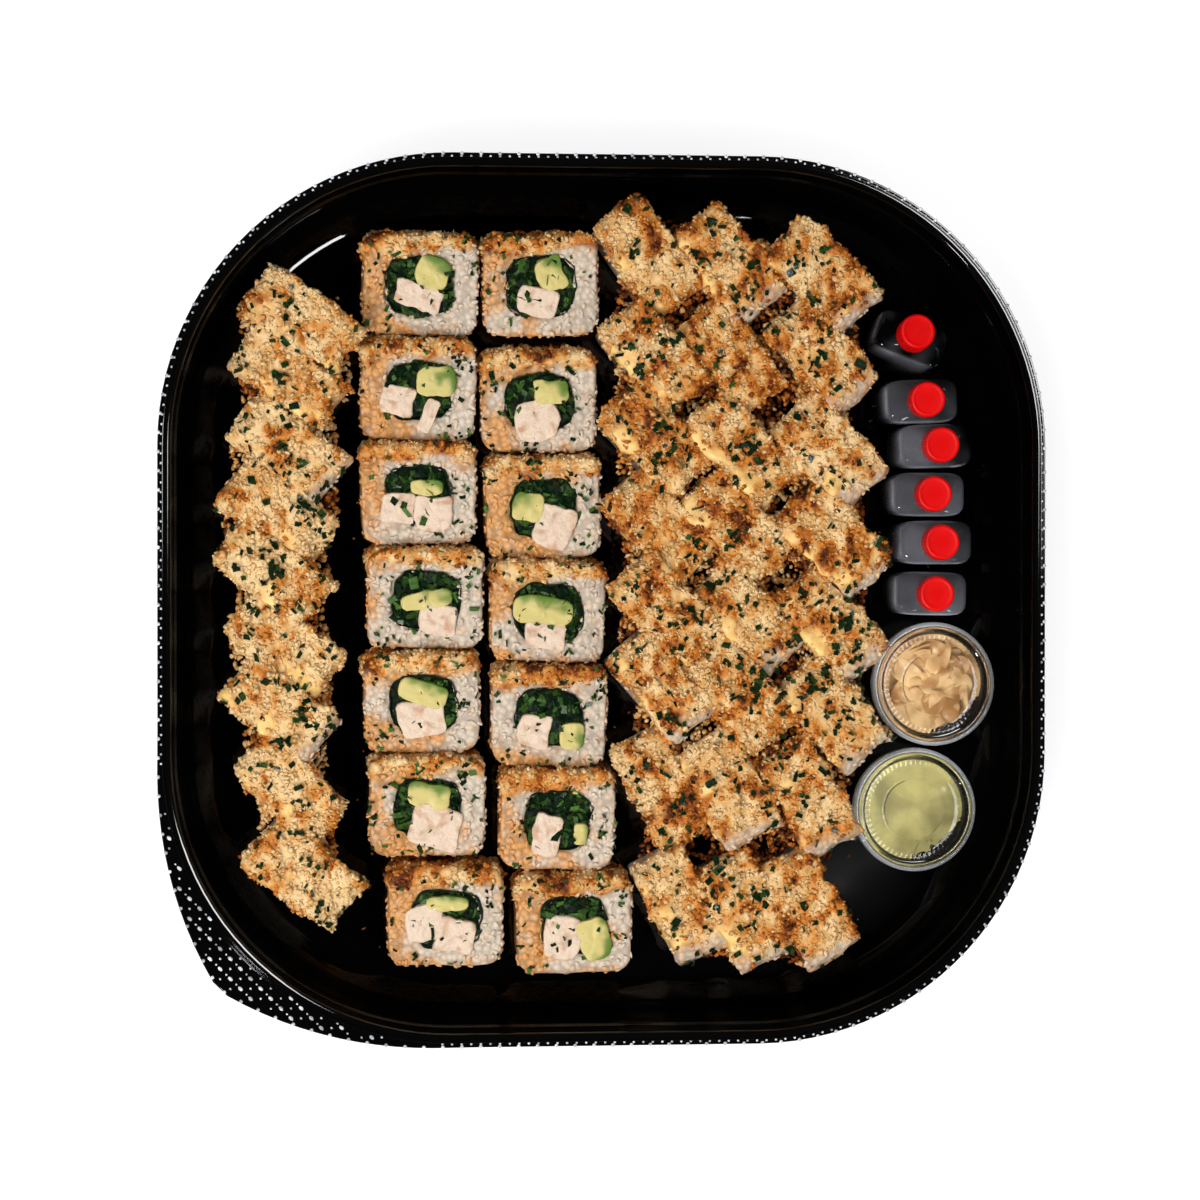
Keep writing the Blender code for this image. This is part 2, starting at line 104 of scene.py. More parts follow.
# Lying rolls: middle x and y, clockwise turn, then each chunk's x, y, length, width and turn, the avocado last
LYING_WIDTH = 45.5
LYING_DEPTH = 38.8
LYING_HEIGHT = 25.0
LYING_SLOPE = 3.0 / (LYING_DEPTH / 2)
LYING_LEAN = 3.5
LYING_SHIFT = -0.3
HOLE_X = 12.8
HOLE_Y = 11.2
HOLE_POWER = 3.2
LYING_ROLLS = {
    "roll_b1": (-70.1, 123.2, 1, [(-1, -4, 17, 9, 15), (5, 5, 12, 11, 20)]),
    "roll_c1": (-23.6, 123.3, -1, [(-1, -6, 14, 10, 15), (4, 5, 10, 12, -20)]),
    "roll_b2": (-70.9, 82.5, 1, [(-8, -4, 12, 10, 10), (4, -10, 5, 12, 20), (6, 4, 13, 11, 0)]),
    "roll_c2": (-24.2, 78.5, 0, [(-1, -7, 15, 15, -10), (4, 4, 12, 9, 0)]),
    "roll_b3": (-70.8, 42.3, -1, [(-8, -5, 12, 11, 5), (6, -7, 13, 12, 0), (3, 3, 11, 5, 0)]),
    "roll_c3": (-22.6, 37.2, -1, [(4, -7, 14, 15, 20), (-6, 1, 10, 10, 10)]),
    "roll_b4": (-68.3, 2.0, 1, [(5, -8, 12, 10, 5), (1, 0, 18, 6, -12)]),
    "roll_c4": (-20.4, -3.2, 1, [(-1, -9, 14, 9, 5), (-2, 1, 20, 9, 5)]),
    "roll_b5": (-69.4, -38.2, -1, [(0, -6, 16, 13, -10), (1, 4, 17, 8, 15)]),
    "roll_c5": (-20.0, -44.0, 1, [(-6, -5, 11, 12, 10), (9, -7, 9, 9, 0)]),
    "roll_b6": (-67.3, -78.6, 0, [(3, -8, 17, 14, 15), (0, 5, 15, 9, 10)]),
    "roll_c6": (-16.8, -84.3, 1, [(-4, -5, 10, 15, 10), (9, -5, 5, 8, 0)]),
    "roll_b7": (-60.3, -121.4, 1, [(-8, -2, 14, 12, -10), (4, -7, 13, 12, 10), (1, 6, 15, 5, 0)]),
    "roll_c7": (-10.3, -124.7, -1, [(-5, -5, 13, 15, 5), (8, -6, 11, 16, -15)]),
}

# Bottles: middle of the base x and y, turn, lean to the back, how pale the left and the right end are:
# the plastic's own milkiness together with painted reflection of soft light on the top
BOTTLE_HALF_LENGTH = 14.3
BOTTLE_HALF_WIDTH = 8.5
BOTTLES = [
    (119.4, 98.6, -21.0, 8.0, 0.02, 0.1),
    (125.6, 77.8, 2.0, 0.0, 0.6, 0.3),
    (131.2, 60.3, 2.0, 0.0, 1.0, 0.05),
    (128.3, 41.3, 0.0, 0.0, 0.8, 0.9),
    (131.3, 22.5, 0.0, 0.0, 1.0, 0.4),
    (129.3, 2.5, -1.0, 0.0, 0.7, 0.9),
]
CAP_RIB = 0.24  # how far a rib stands out of a cap's side
LID_RIB = 0.25  # how far a rib stands up from a lid's border
GINGER_POT = (131.0, -33.0)
WASABI_POT = (123.6, -82.3)

# Scattered things: counts, shares that lie on the standing rolls, least and most half sizes
WEDGED_CRUMBS = 2600
FALLEN_CRUMBS = 290
CRUMBS_ON_STANDING = 0.76
GRAINS_ON_STANDING = 0.35
LEAVES_ON_ROLLS = (0.34, 0.16)  # on the standing and on the lying rolls, the rest in the fillings
COARSE_SIZES = ((0.7, 0.6, 0.4), (2.1, 1.5, 1.0))
FINE_SIZES = ((0.45, 0.35, 0.25), (1.3, 0.95, 0.6))
GRAIN_SIZES = ((1.2, 0.75, 0.5), (1.8, 0.95, 0.65))
LEAF_SIZES = ((0.45, 0.3, 0.08), (1.2, 0.75, 0.14))

# Lamps in metres and watts: azimuth, elevation, distance, side, power, then the pieces that alone mirror it
LID_PIECES = [f"{pot}_pot_{part}" for pot in ("ginger", "wasabi") for part in ("lid", "ring")]
SHINES = {
    "arc_light": (120, 45, 1.7, 0.95, 80.0, ["tray_rim"]),
    "corner_light": (42, 67, 1.7, 0.3, 9.0, ["tray_shell"]),
    "lid_light": (75, 40, 1.7, 1.3, 45.0, LID_PIECES),
    "bottle_light": (17, 15, 1.5, 0.5, 14.0, ["bottle_bodies"]),
}
CAMERA_PLACE = (-0.1141, 0.0117, 1.2448)
CAMERA_TARGET = (-0.0026, 0.0002, 0.050)
CAMERA_ROLL = 0.04
CAMERA_LENS = 94.47
STAGE_REACH = 4.0


def shade(red, green, blue):
    """A colour as its three steps of 255 on a screen becomes the same colour as shares of light."""
    steps = (red, green, blue)
    return tuple(((step / 255 + 0.055) / 1.055) ** 2.4 if step > 10 else step / 3295 for step in steps)


def dimmed(colour, *shares):
    """A colour with its red, green and blue multiplied by shares, or all by one share."""
    return tuple(part * share for part, share in zip(colour, shares if len(shares) == 3 else 3 * shares))


def tint(label, description, red, green, blue):
    return bpy.props.FloatVectorProperty(
        name=label,
        description=description,
        default=shade(red, green, blue),
        subtype="COLOR",
        size=3,
        min=0,
        max=1,
    )


class TrayLook(bpy.types.PropertyGroup):
    plastic: tint("Plastic", "Colour of the tray", 2, 2, 2)
    roughness: bpy.props.FloatProperty(
        name="Roughness", description="How dull the plastic is", default=0.05, min=0, max=1, subtype="FACTOR"
    )
    dot: bpy.props.FloatProperty(
        name="Dot", description="Radius of a moulded dot on the rim", default=0.0006, min=0, unit="LENGTH"
    )


class RollLook(bpy.types.PropertyGroup):
    rice: tint("Rice", "Colour of plain rice", 212, 196, 176)
    toast: tint("Toasted rice", "Colour of rice that took up oil from the crust", 218, 156, 90)
    burnt: tint("Burnt crumb", "Darkest crumbs", 84, 36, 10)
    brown: tint("Brown crumb", "Well done crumbs", 150, 78, 24)
    golden: tint("Golden crumb", "Golden crumbs", 202, 122, 38)
    cream: tint("Cream crumb", "Crumbs that stayed light", 212, 162, 96)
    pale: tint("Pale crumb", "The palest crumbs", 232, 198, 144)
    cheese: tint("Cheese", "Smooth melted patches", 246, 206, 128)
    leaf: tint("Leaf", "Chopped leaves", 12, 32, 14)
    bright_leaf: tint("Bright leaf", "The brightest chopped leaves", 76, 112, 46)
    chicken: tint("Chicken", "Cut chicken", 222, 198, 174)
    avocado: tint("Avocado", "Flesh of the avocado", 206, 190, 118)
    rind: tint("Avocado edge", "The green edge of the avocado", 92, 122, 44)
    seaweed: tint("Seaweed", "The sheet round the filling", 8, 14, 9)
    flakes: bpy.props.IntProperty(name="Flakes", description="How many coarse crumbs", default=9600, min=1)
    crumbs: bpy.props.IntProperty(name="Crumbs", description="How many fine crumbs", default=16000, min=1)
    grains: bpy.props.IntProperty(name="Grains", description="How many rice grains", default=3000, min=1)
    leaves: bpy.props.IntProperty(name="Leaves", description="How many chopped leaves", default=3900, min=1)


class VesselLook(bpy.types.PropertyGroup):
    cap: tint("Cap", "Screw caps of the bottles", 228, 2, 3)
    # The bottle tint shows in full only along the painted highlight lines at the top's edges; elsewhere the
    # body stays darker.
    bottle: tint("Bottle", "Tint of the bottles' plastic", 222, 226, 236)
    soy: tint("Soy sauce", "Sauce in the bottles", 26, 10, 8)
    ginger: tint("Ginger", "Sliced ginger", 238, 198, 142)
    wasabi: tint("Wasabi", "Green paste", 204, 192, 122)


class StageLook(bpy.types.PropertyGroup):
    floor: tint("Floor", "The pale surface under the tray", 246, 246, 247)
    key: bpy.props.FloatProperty(
        name="Key light", description="Power of the soft light at the front left", default=20.0, unit="POWER"
    )
    fill: bpy.props.FloatProperty(
        name="Fill light", description="Power of each of the other soft lights", default=9.0, unit="POWER"
    )
    surround: bpy.props.FloatProperty(name="Surround", description="Light from all round", default=0.1, min=0)


# Noise and skins


def noise(points, cell, seed):
    """Smooth random values from 0 to 1 over space.

    Each corner of a lattice of the given cell size has a value mixed from its whole numbers. A point's
    value is the blend of the eight corners round it, with the weights 3t^2 - 2t^3 along each axis.
    """
    scaled = np.asarray(points, float) / cell + 1000.0
    corner = np.floor(scaled).astype(np.int64)
    share = scaled - corner
    share = share * share * (3.0 - 2.0 * share)
    total = np.zeros(scaled.shape[:-1])
    for i in (0, 1):
        for j in (0, 1):
            for k in (0, 1):
                x, y, z = corner[..., 0] + i, corner[..., 1] + j, corner[..., 2] + k
                mixed = (x * 73856093) ^ (y * 19349663) ^ (z * 83492791) ^ (seed * 2654435761)
                mixed = (mixed ^ (mixed >> 13)) * 1274126177
                value = ((mixed ^ (mixed >> 16)) & 0xFFFF) / 65535.0
                near = [np.abs(1 - step - share[..., axis]) for axis, step in enumerate((i, j, k))]
                total += value * (near[0] * near[1] * near[2])
    return total


def ease(value, start, end):
    """0 below start, 1 above end, and 3t^2 - 2t^3 between them."""
    t = np.clip((np.asarray(value, float) - start) / (end - start), 0.0, 1.0)
    return t * t * (3.0 - 2.0 * t)


def oblong(count, half_x, half_y, power):
    """One turn round an oblong. In the direction a its radius is
    (|cos a / half_x|^power + |sin a / half_y|^power)^(-1/power).
    """
    angle = np.linspace(0.0, 2.0 * np.pi, count, endpoint=False)
    across, along = np.cos(angle), np.sin(angle)
    reach = (np.abs(across / half_x) ** power + np.abs(along / half_y) ** power) ** (-1.0 / power)
    return np.stack([reach * across, reach * along], axis=1)


def stretched(section, levels):
    """Rings of one section, each scaled by its level's share and put at its level's height."""
    share, height = (np.array(column)[:, None] for column in zip(*levels))
    return np.stack([share * section[:, 0], share * section[:, 1], height + 0 * section[:, 0]], axis=-1)


def closed_skin(rings, start, end):
    """Points and triangles of a stack of rings (rows, columns, 3) that closes at two end points."""
    rows, columns = rings.shape[:2]
    points = np.concatenate([rings.reshape(-1, 3), [start], [end]])
    index = np.arange(rows * columns).reshape(rows, columns)
    ahead = np.roll(index, -1, axis=1)
    a, b, c, d = index[:-1], ahead[:-1], ahead[1:], index[1:]
    sides = [np.stack([a, b, c], axis=-1).reshape(-1, 3), np.stack([a, c, d], axis=-1).reshape(-1, 3)]
    first = np.full(columns, rows * columns)
    fan = [np.stack([first, ahead[0], index[0]], axis=1), np.stack([first + 1, index[-1], ahead[-1]], axis=1)]
    return points, np.concatenate(sides + fan)


def tube_skin(rings):
    """Points and triangles of a skin that closes in both directions, such as a ring with a section."""
    rows, columns = rings.shape[:2]
    index = np.arange(rows * columns).reshape(rows, columns)
    ahead = np.roll(index, -1, axis=1)
    after, after_ahead = np.roll(index, -1, axis=0), np.roll(ahead, -1, axis=0)
    sides = [
        np.stack([index, ahead, after_ahead], axis=-1).reshape(-1, 3),
        np.stack([index, after_ahead, after], axis=-1).reshape(-1, 3),
    ]
    return rings.reshape(-1, 3), np.concatenate(sides)


def small_shape(rows, columns):
    """A ball of unit radius from a few rings: 1 by 4 has 8 triangles, 2 by 5 has 20 and 2 by 6 has 24."""
    rise = np.pi * (np.arange(1, rows + 1) / (rows + 1) - 0.5)
    turn = 2.0 * np.pi * (np.arange(columns)[None, :] + 0.5 * (np.arange(rows)[:, None] % 2)) / columns
    out, up = np.cos(rise)[:, None], np.sin(rise)[:, None]
    rings = np.stack([out * np.cos(turn), out * np.sin(turn), up + 0 * turn], axis=-1)
    return closed_skin(rings, (0.0, 0.0, -1.0), (0.0, 0.0, 1.0))


def flat_box():
    """A box of unit half sizes, with twelve triangles."""
    corners = np.array([(x, y, z) for x in (-1.0, 1.0) for y in (-1.0, 1.0) for z in (-1.0, 1.0)])
    sides = [(0, 1, 3, 2), (4, 6, 7, 5), (0, 4, 5, 1), (2, 3, 7, 6), (0, 2, 6, 4), (1, 5, 7, 3)]
    return corners, np.array([half for a, b, c, d in sides for half in ((a, b, c), (a, c, d))])


def point_normals(points, triangles):
    """The normal at each point: the sum of its triangles' normals, made one unit long."""
    corners = points[triangles]
    cross = np.cross(corners[:, 1] - corners[:, 0], corners[:, 2] - corners[:, 0])
    total = np.stack(
        [
            sum(np.bincount(triangles[:, k], cross[:, axis], minlength=len(points)) for k in range(3))
            for axis in range(3)
        ],
        axis=1,
    )
    return total / np.maximum(np.linalg.norm(total, axis=1, keepdims=True), 1e-9)


def placed(points, x, y, z=0.0, turn=0.0, lean=0.0):
    """Leans the points back about X, turns them anticlockwise about Z, then moves them."""
    a, b = math.radians(turn), math.radians(-lean)
    tilt = np.array([[1, 0, 0], [0, math.cos(b), -math.sin(b)], [0, math.sin(b), math.cos(b)]])
    spin = np.array([[math.cos(a), -math.sin(a), 0], [math.sin(a), math.cos(a), 0], [0, 0, 1]])
    return points @ (spin @ tilt).T + np.array([x, y, z])


class Pile:
    """Skins that become one piece, each with named values at its points."""

    def __init__(self):
        self.points = []
        self.triangles = []
        self.values = []
        self.count = 0

    def add(self, points, triangles, values):
        corners = points[triangles]
        volume = np.einsum("ij,ij->", corners[:, 0], np.cross(corners[:, 1], corners[:, 2]))
        self.triangles.append((triangles if volume > 0 else triangles[:, ::-1]) + self.count)
        self.points.append(points)
        self.values.append(values)
        self.count += len(points)

    def merged(self):
        names = self.values[0].keys()
        values = {name: np.concatenate([item[name] for item in self.values]) for name in names}
        return np.concatenate(self.points), np.concatenate(self.triangles), values


def piece(name, skin, finish, replaces=(), smooth=True):
    """A mesh object in metres from points in millimetres, riding on the tray."""
    points, triangles, values = skin
    mesh = bpy.data.meshes.new(name)
    mesh.vertices.add(len(points))
    mesh.vertices.foreach_set("co", (points * MM).ravel())
    mesh.loops.add(3 * len(triangles))
    mesh.loops.foreach_set("vertex_index", triangles.astype(np.int32).ravel())
    mesh.polygons.add(len(triangles))
    mesh.polygons.foreach_set("loop_start", np.arange(0, 3 * len(triangles), 3, dtype=np.int32))
    mesh.polygons.foreach_set("use_smooth", np.full(len(triangles), smooth))
    mesh.update(calc_edges=True)
    for key, value in values.items():
        mesh.attributes.new(key, "FLOAT", "POINT").data.foreach_set("value", value.astype(np.float32))
    mesh.materials.append(finish)
    made = bpy.data.objects.new(name, mesh)
    bpy.context.scene.collection.objects.link(made)
    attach(made, "root")
    if replaces:
        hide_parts(*replaces)
    return made


def scatter(skin, weight, count, rng):
    """Places drawn over a skin's triangles, by area times weight, with their normals and values."""
    points, triangles, values = skin
    corners = points[triangles]
    cross = np.cross(corners[:, 1] - corners[:, 0], corners[:, 2] - corners[:, 0])
    area = np.linalg.norm(cross, axis=1)
    share = area * np.maximum(weight[triangles].mean(axis=1), 0.0)
    chosen = rng.choice(len(triangles), count, p=share / share.sum())
    a, b = rng.random((2, count))
    over = a + b > 1.0
    a[over], b[over] = 1.0 - a[over], 1.0 - b[over]
    first = corners[chosen, 0]
    places = first + a[:, None] * (corners[chosen, 1] - first) + b[:, None] * (corners[chosen, 2] - first)
    picked = {name: value[triangles[chosen, 0]] for name, value in values.items()}
    return places, cross[chosen] / area[chosen, None], picked


def facing(normals, tilt, rng):
    """Right-handed axes at each place: a random side, its front, and the normal tilted by a random share."""
    up = normals + tilt * rng.normal(size=normals.shape)
    up /= np.linalg.norm(up, axis=1, keepdims=True)
    side = np.cross(up, rng.normal(size=normals.shape))
    side /= np.linalg.norm(side, axis=1, keepdims=True)
    return np.stack([side, np.cross(up, side), up], axis=2)


def copies(shape, places, axes, sizes, rough, rng):
    """A small shape at each place, sized along its axes, its points moved in or out by up to rough."""
    points, triangles = shape
    count = len(points)
    local = points[None] * (1.0 + rough * rng.uniform(-1.0, 1.0, (len(places), count, 1))) * sizes[:, None, :]
    moved = np.einsum("nij,nkj->nki", axes, local) + places[:, None, :]
    shifted = triangles[None] + count * np.arange(len(places))[:, None, None]
    return moved.reshape(-1, 3), shifted.reshape(-1, 3)


# Materials


class Value:
    """A socket that does sums: an expression on values adds its Math nodes."""

    def __init__(self, finish, socket):
        self.finish = finish
        self.socket = socket

    def math(self, operation, first, second=0.0):
        return self.finish.node("ShaderNodeMath", {"operation": operation}, {0: first, 1: second})

    def __add__(self, other):
        return self.math("ADD", self, other)

    def __sub__(self, other):
        return self.math("SUBTRACT", self, other)

    def __rsub__(self, other):
        return self.math("SUBTRACT", other, self)

    def __mul__(self, other):
        return self.math("MULTIPLY", self, other)

    def eased(self, start, end):
        """0 below start and 1 above end."""
        sockets = {0: self, 1: start, 2: end, 3: 0.0, 4: 1.0}
        return self.finish.node("ShaderNodeMapRange", {"interpolation_type": "SMOOTHSTEP"}, sockets)


class Finish:
    """A material on a Principled shader. Every other node comes from node()."""

    def __init__(self, name, **constants):
        self.material = bpy.data.materials.new(name)
        self.material.use_nodes = True
        self.tree = self.material.node_tree
        self.shader = self.tree.nodes["Principled BSDF"]
        for key, value in constants.items():
            self.shader.inputs[key.replace("_", " ").title().replace("Ior", "IOR")].default_value = value

    def node(self, kind, settings, sockets, output=0):
        """A node of a type, its settings first, then the values or links of its sockets."""
        made = self.tree.nodes.new(kind)
        for key, value in settings.items():
            if key == "stops":
                ramp = made.color_ramp
                while len(ramp.elements) < len(value):
                    ramp.elements.new(0.5)
                for element, (place, colour) in zip(ramp.elements, value):
                    element.position = place
                    element.color = (*colour, 1.0)
            else:
                setattr(made, key, value)
        for key, value in sockets.items():
            if isinstance(value, Value):
                self.tree.links.new(value.socket, made.inputs[key])
            else:
                made.inputs[key].default_value = value
        return Value(self, made.outputs[output])

    def cloud(self, size, detail=2.0):
        """Noise with lumps of about the given size in millimetres."""
        place = self.node("ShaderNodeTexCoord", {}, {}, output=3)
        return self.node("ShaderNodeTexNoise", {}, {"Vector": place, "Scale": 700.0 / size, "Detail": detail})

    def packed(self, size):
        """Rounded cells of about the given size in millimetres: 0 in their middles, more outwards."""
        place = self.node("ShaderNodeTexCoord", {}, {}, output=3)
        return self.node("ShaderNodeTexVoronoi", {}, {"Vector": place, "Scale": 1000.0 / size})

    def value(self, name):
        return self.node("ShaderNodeAttribute", {"attribute_name": name}, {}, output=2)

    def ramp(self, share, stops):
        return self.node("ShaderNodeValToRGB", {"stops": stops}, {0: share})

    def mix(self, share, first, second):
        first, second = (one if isinstance(one, Value) else (*one, 1.0) for one in (first, second))
        return self.node("ShaderNodeMix", {"data_type": "RGBA"}, {0: share, 6: first, 7: second}, output=2)

    def set(self, **links):
        for key, value in links.items():
            self.tree.links.new(value.socket, self.shader.inputs[key.replace("_", " ").title()])

    def bump(self, height, distance):
        """Raises the surface by the height's share of a distance in millimetres."""
        sockets = {"Strength": 1.0, "Distance": distance * MM, "Height": height}
        self.set(normal=self.node("ShaderNodeBump", {}, sockets))

    def lets_light_through(self):
        """Rays from lamps pass straight through, so that what is behind the plastic is lit."""
        ray = self.node("ShaderNodeLightPath", {}, {}, output=1)
        open_air = self.node("ShaderNodeBsdfTransparent", {}, {0: (0.97, 0.97, 0.97, 1.0)})
        plastic = Value(self, self.shader.outputs[0])
        both = self.node("ShaderNodeMixShader", {}, {0: ray, 1: plastic, 2: open_air})
        self.tree.links.new(both.socket, self.tree.nodes["Material Output"].inputs["Surface"])


def plastic_finish(look):
    made = Finish("black_plastic", specular_ior_level=0.35)
    smear = made.cloud(30.0, 3.0)
    made.set(
        base_color=made.mix(smear, look.plastic, dimmed(look.plastic, 1.5)),
        roughness=smear.eased(0.3, 0.75) * 0.04 + look.roughness,
    )
    made.bump(made.cloud(14.0, 1.0), 0.05)
    return made.material


def crust_stops(look):
    return [(0.0, look.burnt), (0.17, look.brown), (0.38, look.golden), (0.58, look.cream), (0.92, look.pale)]


def roll_finish(look):
    """Rice, toasted rice, crust and melted patches on one skin, told apart by the values at its points."""
    made = Finish("roll_skin", subsurface_weight=0.0)
    fine, middle, grains = made.cloud(1.1, 2.0), made.cloud(3.0, 2.0), made.packed(2.3)
    # The packed cells' darker edges, on plain and on toasted rice, are painted shade in the creases between
    # grains.
    pale = made.mix(grains.eased(0.25, 0.75), look.rice, dimmed(look.rice, 0.7))
    brown = made.mix(grains.eased(0.25, 0.75), look.toast, dimmed(look.toast, 0.6))
    toast = (made.value("toast") + middle * 1.7 + fine * 1.2 - 1.5).eased(-0.15, 1.05)
    rice = made.mix(toast, pale, brown)
    crust = made.ramp(made.value("tone") + fine * 0.6 - 0.34, crust_stops(look))
    food = made.mix(made.value("crust"), rice, crust)
    melted = made.value("melted")
    edge = melted * 0.7 + made.cloud(3.5) * 1.4 - 0.7
    cheese = made.mix(edge.eased(-0.1, 0.95), look.golden, look.cheese)
    shine = melted * 0.4 + (1.0 - made.value("crust")) * 0.15
    made.set(base_color=made.mix(melted, food, cheese), roughness=0.68 - shine)
    crust_grain = fine * (1.0 - melted * 0.6) * (made.value("crust") * 0.8 + 0.2)
    made.bump(crust_grain - grains * (1.0 - made.value("crust")) * 0.9, 0.6)
    return made.material


def crumb_finish(look, name):
    made = Finish(name, roughness=0.6)
    tone = made.value("tone") + made.cloud(1.2) * 0.3 - 0.15
    made.set(base_color=made.ramp(tone, crust_stops(look)))
    made.bump(made.cloud(0.5), 0.2)
    return made.material


def toned_finish(name, dark, light, roughness, grain, depth):
    """A colour between two by the value tone at the points and by a fine noise, with a fine relief."""
    made = Finish(name)
    speck = made.cloud(grain)
    made.set(
        base_color=made.mix((made.value("tone") + speck * 0.5 - 0.25).eased(0.0, 1.0), dark, light),
        roughness=speck * 0.2 + (roughness - 0.1),
    )
    made.bump(speck, depth)
    return made.material


def clear_finish(name, dark, colour, roughness, clearness):
    """Clear plastic, from the dark to the light colour by the value tone at its points."""
    made = Finish(name, transmission_weight=clearness, ior=1.45)
    haze = made.cloud(9.0, 2.0)
    made.set(base_color=made.mix(made.value("tone"), dark, colour), roughness=haze * 0.04 + roughness)
    made.lets_light_through()
    return made.material


# Tray


def bearing(x, y):
    """The direction from the middle in degrees, anticlockwise from the right, from 0 to 360."""
    return np.degrees(np.arctan2(y, x)) % 360.0


def tray_rings(profile, corner_steps=26, side_steps=14):
    """Rings of rounded squares: round each corner's centre an arc of the ring's half side less that
    distance, joined by straight sides. Near the front left corner a ring swells outwards by its share of
    the tab's reach times (1 - off)^1.7, where off is the angle from the tab's middle over its spread."""
    centres, directions = [], []
    for corner, (sx, sy) in enumerate(((1, 1), (-1, 1), (-1, -1), (1, -1))):
        arc = np.radians(90.0 * corner + np.linspace(0.0, 90.0, corner_steps))
        centres.append(np.tile([CORNER_CENTRE * sx, CORNER_CENTRE * sy], (corner_steps, 1)))
        directions.append(np.stack([np.cos(arc), np.sin(arc)], axis=1))
        ahead = np.array([(-1, 1), (-1, -1), (1, -1), (1, 1)][corner]) * CORNER_CENTRE
        along = np.linspace(0.0, 1.0, side_steps + 1, endpoint=False)[1:, None]
        centres.append((1 - along) * np.array([CORNER_CENTRE * sx, CORNER_CENTRE * sy]) + along * ahead)
        directions.append(np.tile(directions[-1][-1], (side_steps, 1)))
    centre, direction = np.concatenate(centres), np.concatenate(directions)
    half, height, share = (np.array(column)[:, None] for column in zip(*profile))
    flat = np.maximum(half, FLOOR_HALF)
    x = (centre[:, 0] + (flat - CORNER_CENTRE) * direction[:, 0]) * half / flat
    y = (centre[:, 1] + (flat - CORNER_CENTRE) * direction[:, 1]) * half / flat
    off = np.abs(bearing(x, y) - TAB_DIRECTION) / TAB_SPREAD
    reach = np.hypot(x, y)
    grown = 1.0 + share * TAB_REACH * np.clip(1.0 - off, 0.0, 1.0) ** 1.7 / reach
    return np.stack([x * grown, y * grown, height + 0.0 * x], axis=-1)


def tray_profile():
    """The visible side in two parts, from the floor's middle to the ledge and on to the flange's edge: half
    side, height and share of the tab."""
    fillet = [
        (FLOOR_HALF + FLOOR_FILLET * math.sin(a), PLASTIC + FLOOR_FILLET * (1 - math.cos(a)), 0.0)
        for a in np.radians(np.linspace(0.0, 84.0, 10))
    ]
    wall = []
    for t in np.linspace(0.1, 1.0, 24):
        half, height = 161.3 + 2.0 * t, 13.0 + 24.0 * t
        for bead in WALL_BEADS:
            half -= 0.25 * math.exp(-(((height - bead) / 0.6) ** 2))
        wall.append((half, height, 0.0))
    crown = [(163.6, 37.3), (163.85, 37.6), (164.0, 38.3), (164.3, 44.5), (164.5, 49.4)]
    crown += [(166.7 - 2.2 * math.cos(a), 49.8 + 2.2 * math.sin(a)) for a in np.radians(np.linspace(0, 90, 9))]
    crown += [(167.2, 51.97), (167.5, 51.84), (167.7, 51.62)]
    flange = [
        (167.78, 51.6, 0.01), (167.9, 51.76, 0.02),
        (168.0, 51.74, 0.03), (168.1, 51.5, 0.04), (168.16, 51.39, 0.06),
        (168.25, 51.37, 0.1), (168.7, 51.34, 0.55), (169.2, 51.3, 0.95),
        (169.5, 51.26, 0.98), (169.62, 51.2, 0.99), (169.8, 50.9, 1.0),
        (169.9, 50.4, 1.0), (170.0, 48.4, 1.0),
    ]
    middle = [(half, PLASTIC, 0.0) for half in (20.0, 60.0, 100.0, 130.0)]
    return middle + fillet + wall, [(*row, 0.0) for row in crown] + flange


def tray_skins():
    """The shell up to the ledge and the rim round it. Each has a visible side and, one wall behind it along
    the profile's normal, a hidden side."""
    shell, rim = tray_profile()
    seen = np.array(shell + rim)
    slope = np.gradient(seen[:, :2], axis=0)
    slope /= np.linalg.norm(slope, axis=1, keepdims=True)
    hidden = seen.copy()
    hidden[:, 0] += PLASTIC * slope[:, 1]
    hidden[:, 1] -= PLASTIC * slope[:, 0]
    hidden[:, 1] = np.maximum(hidden[:, 1], 0.0)
    hidden[-1] = (169.1, 48.4, 1.0)
    seam = len(shell) - 1
    floor = tray_rings(np.concatenate([hidden[: seam + 1], seen[seam::-1]]))
    edge = tray_rings(np.concatenate([hidden[seam:], seen[: seam - 1 : -1]]))
    return closed_skin(floor, (0.0, 0.0, 0.0), (0.0, 0.0, PLASTIC)), tube_skin(edge)


